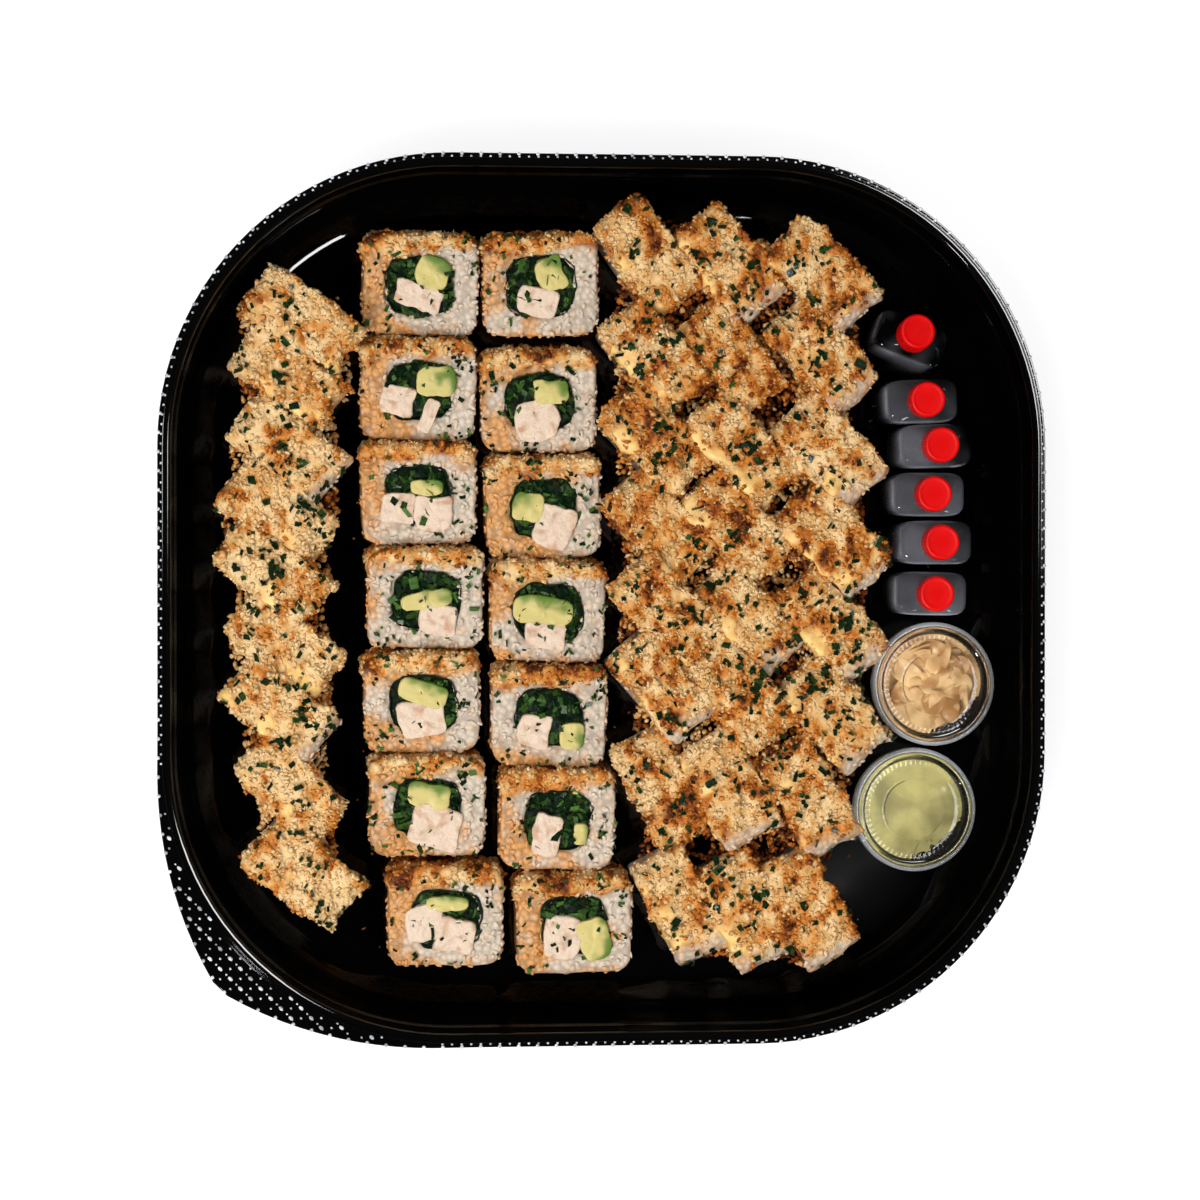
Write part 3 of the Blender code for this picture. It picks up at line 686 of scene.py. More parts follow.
def rim_dots(radius):
    """Moulded dots: a row along the flange, and on the tab a lattice turned by 45 degrees of oblong dots,
    each with a small one beside it."""
    places, sizes, turns = [], [], []
    for half, height, share_of_tab, first, apart in DOT_ROWS:
        ring = tray_rings([(half, height, share_of_tab)], 60, 44)[0]
        step = np.linalg.norm(np.diff(ring, axis=0, append=ring[:1]), axis=1)
        travelled = np.concatenate([[0.0], np.cumsum(step)])
        spots = np.arange(first, travelled[-1] - 2.0, apart)
        at = np.searchsorted(travelled, spots, side="right") - 1
        share = ((spots - travelled[at]) / step[at])[:, None]
        row = ring[at] * (1 - share) + ring[(at + 1) % len(ring)] * share
        if apart < 5.0:
            row = row[np.abs(bearing(*row[:, :2].T) - TAB_DIRECTION) > TAB_SPREAD * 0.9]
        places += list(row)
        wide = radius * (1.25 if apart > 5.0 else 0.8)
        sizes += [(wide, wide, 0.6 * radius)] * len(row)
        turns += [0.0] * len(row)
    inner, outer = tray_rings(LATTICE_EDGES, 200, 2)
    inner_reach, outer_reach = np.hypot(*inner[:, :2].T), np.hypot(*outer[:, :2].T)
    inner_angle = bearing(*inner[:, :2].T)
    order = np.argsort(inner_angle)
    for i in range(-60, 60):
        for j in range(-60, 60):
            x, y = LATTICE_START + LATTICE_STEP * (i - j), LATTICE_START + LATTICE_STEP * (i + j)
            for dx, dy, wide, high in LATTICE_DOTS:
                angle = bearing(x + dx, y + dy)
                if abs(angle - TAB_DIRECTION) > TAB_SPREAD * 0.9:
                    continue
                reach = math.hypot(x + dx, y + dy)
                low = np.interp(angle, inner_angle[order], inner_reach[order])
                far = np.interp(angle, inner_angle[order], outer_reach[order])
                if low + 0.5 < reach < far - 1.3:
                    share = (reach - low) / (far - low)
                    places.append((x + dx, y + dy, 51.37 - 0.08 * share))
                    sizes.append((wide, high, 0.28))
                    turns.append(-45.0)
    turn = np.radians(turns)
    zero = 0.0 * turn
    axes = np.stack(
        [
            np.stack([np.cos(turn), np.sin(turn), zero], axis=1),
            np.stack([-np.sin(turn), np.cos(turn), zero], axis=1),
            np.stack([zero, zero, zero + 1.0], axis=1),
        ],
        axis=2,
    )
    rng = np.random.default_rng(7)
    points, triangles = copies(small_shape(3, 8), np.array(places), axes, np.array(sizes), 0.0, rng)
    return points, triangles, {"tone": noise(points, 3.0, 8)}


# Rolls


def crust_tone(places):
    """How pale the crust is, about 0 to 1: three sizes of noise, and a little more on the left."""
    paler = 0.17 * ease(-places[:, 0], 85.0, 100.0)
    lumps = 0.85 * noise(places, 9.0, 81) + 1.15 * noise(places, 3.4, 82) + 0.45 * noise(places, 1.7, 84)
    return lumps + paler - 0.63


def standing_skin(x, y, turn, thickness, seed):
    """A slice of roll on its side.

    Rows run along its axis: out over the front cut face, along the side and in over the back cut face. Each
    row is an oblong of power 6 in the plane of the cut face. The crusted top is raised along the normal by
    lumps of noise.
    """
    chance = random.Random(seed)
    length = STANDING_LENGTH + chance.uniform(-1.2, 0.0)
    height = STANDING_HEIGHT + chance.uniform(-2.5, 0.0) - CRUMB_RISE
    half = thickness / 2.0
    out = [(0.2, 0.0), (0.4, 0.0), (0.6, 0.0), (0.75, 0.0), (0.87, 0.0), (0.95, 0.15), (0.985, 0.7)]
    along = [(share, -half + inset) for share, inset in out]
    along += [(1.0, place) for place in np.linspace(1.7 - half, half - 1.7, 11)]
    along += [(share, half - inset) for share, inset in reversed(out)]
    section = oblong(60, length / 2 - 0.7, height / 2 - 0.6, 6.0)
    share, place = (np.array(column)[:, None] for column in zip(*along))
    level = share * section[:, 1] + height / 2 - 0.2
    rings = np.stack([share * section[:, 0], place + 0 * level, level], axis=-1)
    local, triangles = closed_skin(rings, (0.0, -half, height / 2), (0.0, half, height / 2))
    probe = placed(local, x, y, STAND, -turn)
    upper = ease(local[:, 2], height - 15.0, height - 6.0)
    local[:, 1] += upper * (2.4 * (noise(probe, 16.0, 18) - 0.5))
    local[:, 1] += upper * np.clip(local[:, 1] / half, -1.0, 1.0) * (3.4 * noise(probe, 6.0, 16) - 0.2)
    local[:, 0] += upper * np.clip(2.0 * local[:, 0] / length, -1.0, 1.0) * (4.4 * noise(probe, 7.0, 17) - 0.2)
    points = placed(local, x, y, STAND, -turn)
    wobble = noise(points, 5.0, 11)
    crust = ease(local[:, 2] + 5.0 * wobble, height - 8.0, height - 4.0)
    bare_end = chance.random() < 0.55
    if bare_end:
        crust *= 1.0 - ease(local[:, 0] + 7.0 * wobble - 0.25 * local[:, 1], 19.0, 22.5)
    front = ease(-local[:, 1] / half, -0.2, 0.9)
    ragged = 0.25 * noise(points, 2.2, 19)
    melted = ease(noise(points, 8.0, 12) + 0.3 * front + ragged - 0.22, 0.78, 0.94) * crust
    tone = crust_tone(points)
    lumps = 3.0 * noise(points, 5.0, 13) + 2.0 * noise(points, 2.4, 14) * (1.0 - 0.6 * melted) - 2.6
    lumps += 1.1 * np.clip(tone, 0.0, 1.0)
    rise = crust * lumps + (1.0 - crust) * 0.7 * noise(points, 2.2, 15) - 0.2
    top = ease(local[:, 2], 4.0, 8.0)
    moved = points + point_normals(points, triangles) * (rise * top)[:, None]
    moved[:, 2] = np.maximum(moved[:, 2], STAND)
    toast = 0.75 * ease(local[:, 2], height - 22.0, height - 5.0) + 0.35 * wobble - 0.1
    toast *= 0.4 if bare_end else 1.0
    return moved, triangles, {"crust": crust, "melted": melted, "toast": toast, "tone": tone}


def lying_skin(x, y, turn, chunks):
    """A slice of roll with a cut face up.

    Rows run from under its middle over the base, up the side and in over the cut face, each an oblong of
    power 7 seen from above. The cut face rises to the back, and the roll leans forward. Inside the
    filling's radius it is sunk.
    """
    base = [(0.3, 0.0), (0.7, 0.0), (0.95, 0.0), (0.985, 0.02)]
    side = [(1.0, level) for level in np.linspace(0.06, 0.93, 9)]
    face = [(0.992, 0.975), (0.965, 0.997)] + [(share, 1.0) for share in np.linspace(0.93, 0.08, 15)]
    section = oblong(84, LYING_WIDTH / 2 - 0.6, LYING_DEPTH / 2 - 0.5, 7.0)
    share, level = (np.array(column)[:, None] for column in zip(*(base + side + face)))
    across = share * section[:, 0]
    back = share * section[:, 1] + LYING_LEAN * (0.5 - level) + LYING_SHIFT
    top = LYING_HEIGHT + LYING_SLOPE * share * section[:, 1]
    rings = np.stack([across, back, level * top], axis=-1)
    end = (0.0, LYING_SHIFT - LYING_LEAN / 2, LYING_HEIGHT)
    local, triangles = closed_skin(rings, (0.0, LYING_SHIFT + LYING_LEAN / 2, 0.0), end)
    flat = np.concatenate([(share * section[None, :, 1]).ravel(), [0.0, 0.0]])
    on_face = np.concatenate([(level + 0 * across).ravel(), [0.0, 1.0]])
    points = placed(local, x, y, STAND, -turn)
    wobble = noise(points, 6.0, 21)
    seen = ease(on_face, 0.03, 0.12)
    ragged = 6.0 * wobble + 3.0 * noise(points, 2.6, 27)
    crust = ease(flat + ragged - 0.06 * local[:, 0], 16.6, 19.4) * seen
    hole = (np.abs(local[:, 0]) / HOLE_X) ** HOLE_POWER + (np.abs(local[:, 1] + 2.0) / HOLE_Y) ** HOLE_POWER
    filled = (1.0 - ease(hole, 0.85, 1.5)) * (on_face > 0.99)
    lumps = 2.6 * noise(points, 4.0, 22) + 2.2 * noise(points, 2.0, 23) - 1.5
    rice = 0.6 * noise(points, 2.4, 24) + 0.9 * noise(points, 7.0, 25) - 0.8
    rise = (filled * -1.7 + (1.0 - filled) * (crust * lumps + (1.0 - crust) * rice)) * seen
    moved = points + point_normals(points, triangles) * rise[:, None]
    moved[:, 2] = np.maximum(moved[:, 2], STAND)
    patch = noise(points, 13.0, 26)
    toast = 0.95 * ease(patch - 0.014 * local[:, 0] + 0.35 * ease(flat, 6.0, 16.0), 0.42, 0.92)
    toast += 0.6 * ease(np.abs(flat) + 4.0 * wobble, 17.0, 21.0) + 0.5 * (1.0 - ease(on_face, 0.8, 0.97))
    values = {"crust": crust, "melted": 0.0 * crust, "toast": np.clip(toast, 0.0, 1.0)}
    return moved, triangles, {**values, "tone": crust_tone(points) - 0.04}


def rolls_skin(make, rolls, *first_seed):
    """The skins of several rolls as one, each roll's random values drawn from a seed of its own."""
    pile = Pile()
    for index, roll in enumerate(rolls):
        pile.add(*make(*roll, *(seed + index for seed in first_seed)))
    return pile.merged()


def standing_pile(group):
    return rolls_skin(standing_skin, ROLL_GROUPS[group][3], ROLL_GROUPS[group][2])


def lying_pile():
    return rolls_skin(lying_skin, LYING_ROLLS.values())


def on_cut_face(points, roll):
    """Points given from the middle of a lying roll's cut face, along it and above it, come to their place."""
    x, y, turn = roll[:3]
    angle = math.atan(LYING_SLOPE)
    tilt = np.array([[1, 0, 0], [0, math.cos(angle), -math.sin(angle)], [0, math.sin(angle), math.cos(angle)]])
    raised = points @ tilt.T + np.array([0.0, -LYING_LEAN / 2, LYING_HEIGHT - LYING_SLOPE * LYING_LEAN / 2])
    return placed(raised, x, y, STAND, -turn)


def block_skin(length, width, rise, power, seed, away=None):
    """A cut block: rings of an oblong that round in at the top edge, its top roughened by noise."""
    levels = [(0.9, -2.4), (0.96, -1.6), (1.0, -0.4), (1.0, rise - 0.7), (0.985, rise - 0.25)]
    levels += [(0.95, rise - 0.03), (0.87, rise), (0.7, rise), (0.5, rise), (0.25, rise)]
    section = oblong(44, length / 2, width / 2, power)
    probe = np.concatenate([section, np.full((44, 1), 13.0 * seed)], axis=1)
    section *= 1.0 + 0.3 * (noise(probe, 7.5, 42)[:, None] - 0.5)
    local, triangles = closed_skin(stretched(section, levels), (0.0, 0.0, -2.4), (0.0, 0.0, rise))
    shifted = local + 37.0 * seed
    rough = 0.9 * (noise(shifted, 3.5, 31) - 0.5) + 0.6 * (noise(shifted, 1.3, 32) - 0.5)
    local += point_normals(local, triangles) * rough[:, None]
    rind = 0.0 * local[:, 0]
    if away is not None:
        reach = local[:, 0] / (length / 2) * away[0] + local[:, 1] / (width / 2) * away[1]
        rind = ease(0.5 + 0.5 * reach + 0.5 * (noise(shifted, 3.0, 33) - 0.5), 0.35, 1.1)
    return local, triangles, {"tone": rind}


def filling_piles():
    """Chicken, avocado, the bed of leaves and the seaweed of every lying roll."""
    chicken, avocado, bed, seaweed = Pile(), Pile(), Pile(), Pile()
    for index, roll in enumerate(LYING_ROLLS.values()):
        chunks = roll[3]
        for number, (x, y, length, width, turn) in enumerate(chunks):
            last = number == len(chunks) - 1
            seed = 10 * index + number
            angle = math.radians(turn)
            out = (x * math.cos(angle) - y * math.sin(angle), x * math.sin(angle) + y * math.cos(angle))
            away = (out[0] + 3.0, out[1] + 3.0) if last else None
            if last:
                size = math.hypot(*away)
                away = (away[0] / size, away[1] / size)
            rise = 1.5 + 0.5 * ((seed * 7) % 5) / 5.0
            length, width = 1.13 * length, 1.13 * width
            local, triangles, values = block_skin(length, width, rise, 4.2 if last else 8.0, seed, away)
            if not last:
                values["tone"] = np.clip(2.2 * noise(local + 5.0 * seed, 2.2, 34) - 0.1, 0.0, 1.0)
            pile = avocado if last else chicken
            pile.add(on_cut_face(placed(local, x, y, 0.0, -turn), roll), triangles, values)
        section = hole_edge(index, 64)
        levels = [(0.98, -2.6), (1.0, -0.8), (0.97, -0.2), (0.85, -0.1)]
        levels += [(share, 0.0) for share in (0.7, 0.55, 0.4, 0.2)]
        local, triangles = closed_skin(stretched(section, levels), (0.0, 0.0, -2.6), (0.0, 0.0, 0.0))
        points = on_cut_face(local, roll)
        points[:, 2] += (local[:, 2] > -1.0) * (2.2 * noise(points, 2.6, 35) - 1.5)
        bed.add(points, triangles, {"tone": noise(points, 2.0, 36)})
        seaweed_ring(seaweed, roll, index)
    return chicken, avocado, bed, seaweed


def hole_edge(index, count):
    """The edge of a filling: an oblong whose radius goes up and down by noise, its own on each roll."""
    path = oblong(count, HOLE_X, HOLE_Y, HOLE_POWER)
    probe = np.concatenate([path, np.full((count, 1), 31.0 * index)], axis=1)
    return path * (1.0 + 0.2 * (noise(probe, 6.0, 37) - 0.5) + 0.1 * (noise(probe, 2.5, 41) - 0.5))[:, None]


def seaweed_ring(pile, roll, index):
    """A thin band on edge round the filling: a flat section carried round the hole's edge."""
    path = hole_edge(index, 96)
    probe = np.concatenate([path, np.full((len(path), 1), 31.0 * index)], axis=1)
    out = path / np.linalg.norm(path, axis=1, keepdims=True)
    thick = 0.3 + 1.3 * noise(probe, 4.0, 38) ** 2
    turn = np.linspace(0.0, 2.0 * np.pi, 8, endpoint=False)
    across = 0.5 * thick[:, None] * np.cos(turn)
    high = -0.9 + 1.4 * np.sin(turn) + 0.8 * noise(probe, 3.0, 39)[:, None]
    rings = np.stack([path[:, :1] + out[:, :1] * across, path[:, 1:] + out[:, 1:] * across, high], axis=-1)
    points, triangles = tube_skin(rings)
    pile.add(on_cut_face(points, roll), triangles, {"tone": noise(points, 3.0, 40)})


def bottle_rings(levels, count=48):
    rows = [
        np.column_stack([oblong(count, half_x, half_y, power), np.full(count, height)])
        for half_x, half_y, power, height in levels
    ]
    return np.stack(rows)


def bottle_piles():
    """Bodies, sauce and caps.

    A body's outer skin runs from the base up to an oblong shoulder and a round neck, and its inner skin
    comes back down inside it. The sauce reaches just into the wall. A cap is a round drum whose side has
    fine ribs.
    """
    body, sauce, caps = Pile(), Pile(), Pile()
    long, wide = BOTTLE_HALF_LENGTH, BOTTLE_HALF_WIDTH
    outer = [
        (0.9 * long, 0.85 * wide, 4.0, 0.0), (long - 0.4, wide - 0.4, 4.6, 0.4), (long, wide, 5.0, 1.2),
        (long, wide, 5.0, 14.0), (long, wide, 5.0, 27.0), (long - 0.25, wide - 0.25, 4.8, 28.0),
        (long - 1.0, wide - 0.8, 4.6, 28.9), (0.86 * long, 0.82 * wide, 4.0, 29.5),
        (0.64 * long, 0.73 * wide, 3.2, 30.6),
        (0.45 * long, 0.63 * wide, 2.2, 31.8), (5.2, 5.2, 2.0, 32.5), (5.2, 5.2, 2.0, 36.0),
    ]
    inner = [(a - 0.7, b - 0.7, power, height - 0.6) for a, b, power, height in reversed(outer)]
    inner = [row for row in inner if row[3] > 0.65] + [(long - 1.6, wide - 1.6, 4.4, 0.7)]
    fill = [
        (long - 1.6, wide - 1.6, 4.4, 0.65), (long - 0.6, wide - 0.6, 5.0, 1.4),
        (long - 0.6, wide - 0.6, 5.0, 21.5), (long - 1.2, wide - 1.2, 4.8, 21.3),
        (0.5 * long, 0.5 * wide, 4.0, 21.2),
    ]
    for x, y, turn, lean, left, right in BOTTLES:
        lift = STAND + wide * math.sin(math.radians(lean))
        points, triangles = closed_skin(bottle_rings(outer + inner), (0.0, 0.0, 0.0), (0.0, 0.0, 0.7))
        seam = (np.abs(points[:, 1]) < 0.05) & (points[:, 2] > 28.4) & (points[:, 2] < 31.9)
        points[:, 2] += 0.35 * seam
        # Paleness from the left end to the right end: the plastic's own milkiness together with painted
        # reflection of soft light on the top.
        cloudy = 0.5 * (noise(points + x, 6.0, 53) - 0.5)
        milk_and_painted_reflection = left + (right - left) * ease(points[:, 0], -6.0, 10.0) + cloudy
        # Light bands along the top's front and left edges are painted highlights, at half strength on the
        # leaning bottle.
        front_edge_painted_highlight = ease(-points[:, 1] / wide, 0.88, 0.98)
        left_edge_painted_highlight = 0.7 * ease(-points[:, 0] / long, 0.93, 0.99)
        edge = np.maximum(front_edge_painted_highlight, left_edge_painted_highlight) * (points[:, 2] > 26.5) * (0.4 + noise(points + y, 4.0, 54))
        edge *= 0.5 if lean else 1.0
        tone = np.clip(0.36 * np.clip(milk_and_painted_reflection, 0.0, 1.0) + edge, 0.0, 1.0)
        body.add(placed(points, x, y, lift, turn, lean), triangles, {"tone": tone})
        points, triangles = closed_skin(bottle_rings(fill), (0.0, 0.0, 0.65), (0.0, 0.0, 21.2))
        sauce.add(placed(points, x, y, lift, turn, lean), triangles, {"tone": noise(points, 9.0, 51)})
        points, triangles = cap_skin()
        caps.add(placed(points, x, y, lift, turn, lean), triangles, {"tone": noise(points, 5.0, 52)})
    return body, sauce, caps


def turned(profile, count=96, ribs=0, outwards=0.0, upwards=0.0):
    """A profile of radius, height and rib share, turned about Z.

    A rib adds its share of cos(ribs x angle) to the radius, times outwards, and to the height, times upwards.
    """
    angle = np.linspace(0.0, 2.0 * np.pi, count, endpoint=False)
    radius, height, rib = (np.array(column)[:, None] for column in zip(*profile))
    wave = np.cos(ribs * angle)
    reach = radius + outwards * rib * wave
    return np.stack([reach * np.cos(angle), reach * np.sin(angle), height + upwards * rib * wave], axis=-1)


def cap_skin(ribs=40):
    """A drum with fine ribs on its side and a shallow ring pressed into its top."""
    profile = [(5.4, 32.7, 0.0), (6.6, 32.7, 0.4), (6.75, 33.1, 1.0), (6.75, 40.6, 1.0), (6.75, 41.2, 0.6)]
    profile += [(6.55, 41.7, 0.0), (6.2, 41.97, 0.0), (5.6, 42.0, 0.0), (5.2, 41.8, 0.0)]
    profile += [(4.8, 41.75, 0.0), (2.4, 41.75, 0.0)]
    rings = turned(profile, 4 * ribs, ribs, outwards=CAP_RIB)
    return closed_skin(rings, (0.0, 0.0, 32.7), (0.0, 0.0, 41.75))


def cup_skin(x, y):
    profile = [(16.0, 0.0), (16.5, 0.3), (19.2, 12.0), (21.75, 22.9), (22.1, 23.0), (23.0, 23.05)]
    profile += [(23.2, 23.3), (23.2, 23.75), (23.0, 24.0), (21.6, 24.0), (21.1, 23.8), (21.0, 23.4)]
    profile += [(18.5, 12.0), (15.9, 1.0), (15.4, 0.7)]
    rings = turned([(radius, height, 0.0) for radius, height in profile])
    points, triangles = closed_skin(rings, (0.0, 0.0, 0.0), (0.0, 0.0, 0.7))
    return placed(points, x, y, STAND), triangles, {"tone": np.ones(len(points))}


def lid_skins(x, y):
    """A capping lid in two parts: a sunk well with a ribbed border and two steps, and the ring with its
    skirt."""
    well = [(6.0, 23.7, 0), (11.6, 23.7, 0), (11.9, 24.35, 0), (18.9, 24.35, 0), (19.7, 24.9, 0)]
    well += [(20.6, 25.0, 0), (22.8, 25.0, 0), (22.6, 26.4, 0), (20.9, 26.3, 0), (20.3, 26.0, 0)]
    well += [(19.9, 25.5, 0), (19.5, 25.2, 0.6), (18.7, 25.1, 1.0), (17.9, 25.05, 0.6), (17.6, 24.95, 0)]
    well += [(17.1, 25.15, 0), (12.9, 25.15, 0), (12.5, 25.05, 0), (12.2, 24.4, 0), (11.8, 24.3, 0)]
    well += [(6.0, 24.3, 0)]
    ring = [(22.8, 25.0, 0), (23.4, 25.0, 0), (23.5, 24.7, 0), (23.5, 21.3, 0), (23.6, 21.1, 0)]
    ring += [(24.1, 21.1, 0), (24.2, 21.3, 0), (24.2, 25.5, 0), (24.0, 26.0, 0)]
    ring += [(23.4, 26.35, 0), (22.6, 26.4, 0)]
    made = []
    for points, triangles in (
        closed_skin(turned(well, 240, 60, upwards=LID_RIB), (0.0, 0.0, 23.7), (0.0, 0.0, 24.3)),
        tube_skin(turned(ring, 240)),
    ):
        made.append((placed(points, x, y, STAND), triangles, {"tone": np.ones(len(points))}))
    return made


def contents_skin(x, y, seed, lumps, hollow):
    """What fills a pot, reaching just into its wall but for a ragged side at the front right."""
    wall = [(15.6, 0.9), (16.4, 1.2), (18.6, 12.0), (20.3, 18.6), (20.3, 19.3)]
    wall += [(radius, 19.5) for radius in (19.8, 19.0, 18.0, 16.5, 15.0, 13.0, 11.0, 9.0, 7.0, 5.0, 3.0, 1.5)]
    rings = turned([(radius, height, 0.0) for radius, height in wall], 120)
    local, triangles = closed_skin(rings, (0.0, 0.0, 0.9), (0.0, 0.0, 19.5))
    top = ease(local[:, 2], 17.0, 19.3)
    probe = local + 50.0 * seed
    reach = np.hypot(local[:, 0], local[:, 1])
    short = ease((local[:, 0] * 0.62 - local[:, 1] * 0.78) / np.maximum(reach, 1e-6), 0.72, 0.95)
    short *= (0.14 + 0.2 * noise(probe, 2.2, 64)) * ease(reach, 12.0, 16.0)
    local[:, :2] *= 1.0 - short[:, None]
    side = ease(local[:, 0] * 0.7 - local[:, 1] * 0.7, 9.0, 18.0)
    lift = lumps * (noise(probe, 7.0, 61) - 0.5) + 0.4 * lumps * (noise(probe, 2.2, 62) - 0.5) - hollow * side
    local[:, 2] += top * lift
    return placed(local, x, y, STAND), triangles, {"tone": noise(probe, 6.0, 63)}


def ginger_slices(x, y):
    """Thin slices: an oblong of power 2.3, 0.7 thick, its middle surface a sum of sine folds, each tilted
    its own way."""
    pile = Pile()
    rng = np.random.default_rng(71)
    for _ in range(34):
        half_x, half_y = rng.uniform(5.0, 9.0), rng.uniform(2.6, 5.0)
        section = oblong(56, half_x, half_y, 2.3)
        under = [(0.3, -1), (0.6, -1), (0.85, -1), (0.97, -0.8)]
        levels = [*under, (1.0, 0.0), *((share, -side) for share, side in reversed(under))]
        rings = stretched(section, [(share, 0.35 * side) for share, side in levels])
        local, triangles = closed_skin(rings, (0.0, 0.0, -0.35), (0.0, 0.0, 0.35))
        folds = rng.uniform(0.5, 1.3) * np.sin(local[:, 0] * rng.uniform(0.3, 0.55) + rng.uniform(0, 6))
        folds += rng.uniform(0.3, 0.9) * np.sin(local[:, 1] * rng.uniform(0.4, 0.8) + rng.uniform(0, 6))
        local[:, 2] += folds
        reach, way = 12.5 * math.sqrt(rng.random()), rng.uniform(0.0, 2.0 * math.pi)
        tilted = placed(local, 0.0, 0.0, 0.0, rng.uniform(0, 360), rng.uniform(-26, 26))
        at = (reach * math.cos(way), reach * math.sin(way))
        laid = placed(tilted, x + at[0], y + at[1], STAND + rng.uniform(19.4, 20.8), rng.uniform(0, 360))
        limit = STAND + 23.4
        pressed = limit - 0.5 * np.exp(-(laid[:, 2] - limit + 0.5))
        laid[:, 2] = np.where(laid[:, 2] > limit - 0.5, pressed, laid[:, 2])
        from_middle = laid[:, :2] - np.array([x, y])
        radius = np.linalg.norm(from_middle, axis=1, keepdims=True)
        laid[:, :2] = np.array([x, y]) + from_middle * np.minimum(1.0, 19.8 / np.maximum(radius, 1e-6))
        shade_of_slice = 1.1 * noise(laid, 3.0, 72) + rng.uniform(-0.35, 0.35)
        pile.add(laid, triangles, {"tone": np.clip(shade_of_slice, 0.0, 1.0)})
    return pile.merged()


# Operators


class SUSHI_OT_tray(bpy.types.Operator):
    """The black tray and the moulded dots on its rim"""

    bl_idname = "sushi.tray"
    bl_label = "Tray"

    def execute(self, context):
        look = context.scene.sushi_tray
        finish = plastic_finish(look)
        shell, rim = tray_skins()
        piece("tray_shell", (*shell, {}), finish, ["tray"])
        piece("tray_rim", (*rim, {}), finish)
        # The dots are black plastic like the tray; their light grey, lighter and darker at random, is a
        # painted glint.
        glint = toned_finish("rim_dot_painted_glint", shade(150, 150, 155), shade(235, 235, 240), 0.3, 1.0, 0.02)
        piece("rim_dots", rim_dots(look.dot / MM), glint)
        return {"FINISHED"}


def outside_fillings(places):
    """True where a place isn't over the filling of a lying roll."""
    clear = np.ones(len(places), bool)
    for roll in LYING_ROLLS.values():
        x, y = roll[:2]
        across, back = np.abs(places[:, 0] - x) / HOLE_X, np.abs(places[:, 1] - y + LYING_LEAN / 2) / HOLE_Y
        clear &= across**HOLE_POWER + back**HOLE_POWER > 1.0
    return clear


class SUSHI_OT_rolls(bpy.types.Operator):
    """The rice and crust of every roll"""

    bl_idname = "sushi.rolls"
    bl_label = "Rolls"

    def execute(self, context):
        finish = roll_finish(context.scene.sushi_rolls)
        for name, (columns, first, _, rolls) in ROLL_GROUPS.items():
            places = (divmod(index, len(columns)) for index in range(len(rolls)))
            nodes = [f"roll_{columns[column]}{first + row}" for row, column in places]
            piece(name, standing_pile(name), finish, nodes)
        piece("lying_rolls", lying_pile(), finish, list(LYING_ROLLS))
        return {"FINISHED"}


class SUSHI_OT_fillings(bpy.types.Operator):
    """Chicken, avocado, chopped leaves and seaweed in the lying rolls"""

    bl_idname = "sushi.fillings"
    bl_label = "Fillings"

    def execute(self, context):
        look = context.scene.sushi_rolls
        chicken, avocado, bed, seaweed = filling_piles()
        spot = dimmed(look.chicken, 0.74, 0.56, 0.46)
        meat = toned_finish("chicken", spot, look.chicken, 0.5, 1.0, 0.5)
        flesh = toned_finish("avocado", look.avocado, look.rind, 0.4, 3.0, 0.2)
        dark = toned_finish("leaf_bed", look.seaweed, look.leaf, 0.55, 1.5, 0.5)
        sheet = toned_finish("seaweed", look.seaweed, look.leaf, 0.5, 1.0, 0.2)
        piece("chicken", chicken.merged(), meat)
        piece("avocado", avocado.merged(), flesh)
        piece("leaf_bed", bed.merged(), dark)
        piece("seaweed", seaweed.merged(), sheet)
        return {"FINISHED"}


def all_skins():
    standing = Pile()
    for group in ROLL_GROUPS:
        standing.add(*standing_pile(group))
    return standing.merged(), lying_pile()


def scattered(skins, counts, weigh, key, rng):
    """Places drawn over several skins, with their normals and one of the values."""
    found = []
    for skin, count in zip(skins, counts):
        points, triangles, values = skin
        weight = weigh(points, point_normals(points, triangles)[:, 2], values)
        places, normals, picked = scatter(skin, weight, count, rng)
        found.append((places, normals, picked[key]))
    return [np.concatenate(column) for column in zip(*found)]


def crumb_weight(points, up, values):
    """Crumbs lie thin where the crust is bare or melted."""
    weight = values["crust"] ** 1.5 * (1.0 - 0.8 * values["melted"]) * ease(up, -0.35, 0.1)
    return weight + 0.16 * ease(up, 0.2, 0.6) * values["toast"] * ease(noise(points, 5.0, 83), 0.4, 0.8)


def grain_weight(points, up, values):
    return (1.0 - values["crust"]) * ease(points[:, 2], 14.0, 22.0) * ease(up, -0.4, 0.0)


def leaf_weight(points, up, values):
    """Leaves lie in clusters, and none from here over a filling."""
    clusters = (ease(noise(points, 4.5, 96), 0.6, 0.8) + 0.04) * outside_fillings(points)
    return clusters * ease(up, 0.2, 0.7)


def bed_weight(points, up, values):
    return ease(up, 0.2, 0.6)


def gap_places(count, rng):
    """Crumbs caught in the narrow gaps between standing rolls, lower where the gap is wider."""
    rolls = np.array([roll for group in ROLL_GROUPS.values() for roll in group[3]])
    tries = rng.uniform(-150.0, 150.0, (60 * count, 2))
    turn = np.radians(-rolls[:, 2])
    dx, dy = tries[:, :1] - rolls[:, 0], tries[:, 1:] - rolls[:, 1]
    along = np.abs(dx * np.cos(turn) + dy * np.sin(turn)) - STANDING_LENGTH / 2
    across = np.abs(dy * np.cos(turn) - dx * np.sin(turn)) - rolls[:, 3] / 2
    gap = np.sort(np.hypot(np.maximum(along, 0.0), np.maximum(across, 0.0)), axis=1)
    wide = gap[:, 0] + gap[:, 1]
    found = (gap[:, 0] > 0.2) & (wide < 11.5)
    height = 36.0 - 1.1 * wide[found] + rng.uniform(-3.0, 2.0, found.sum())
    return np.column_stack([tries[found], height])[:count]


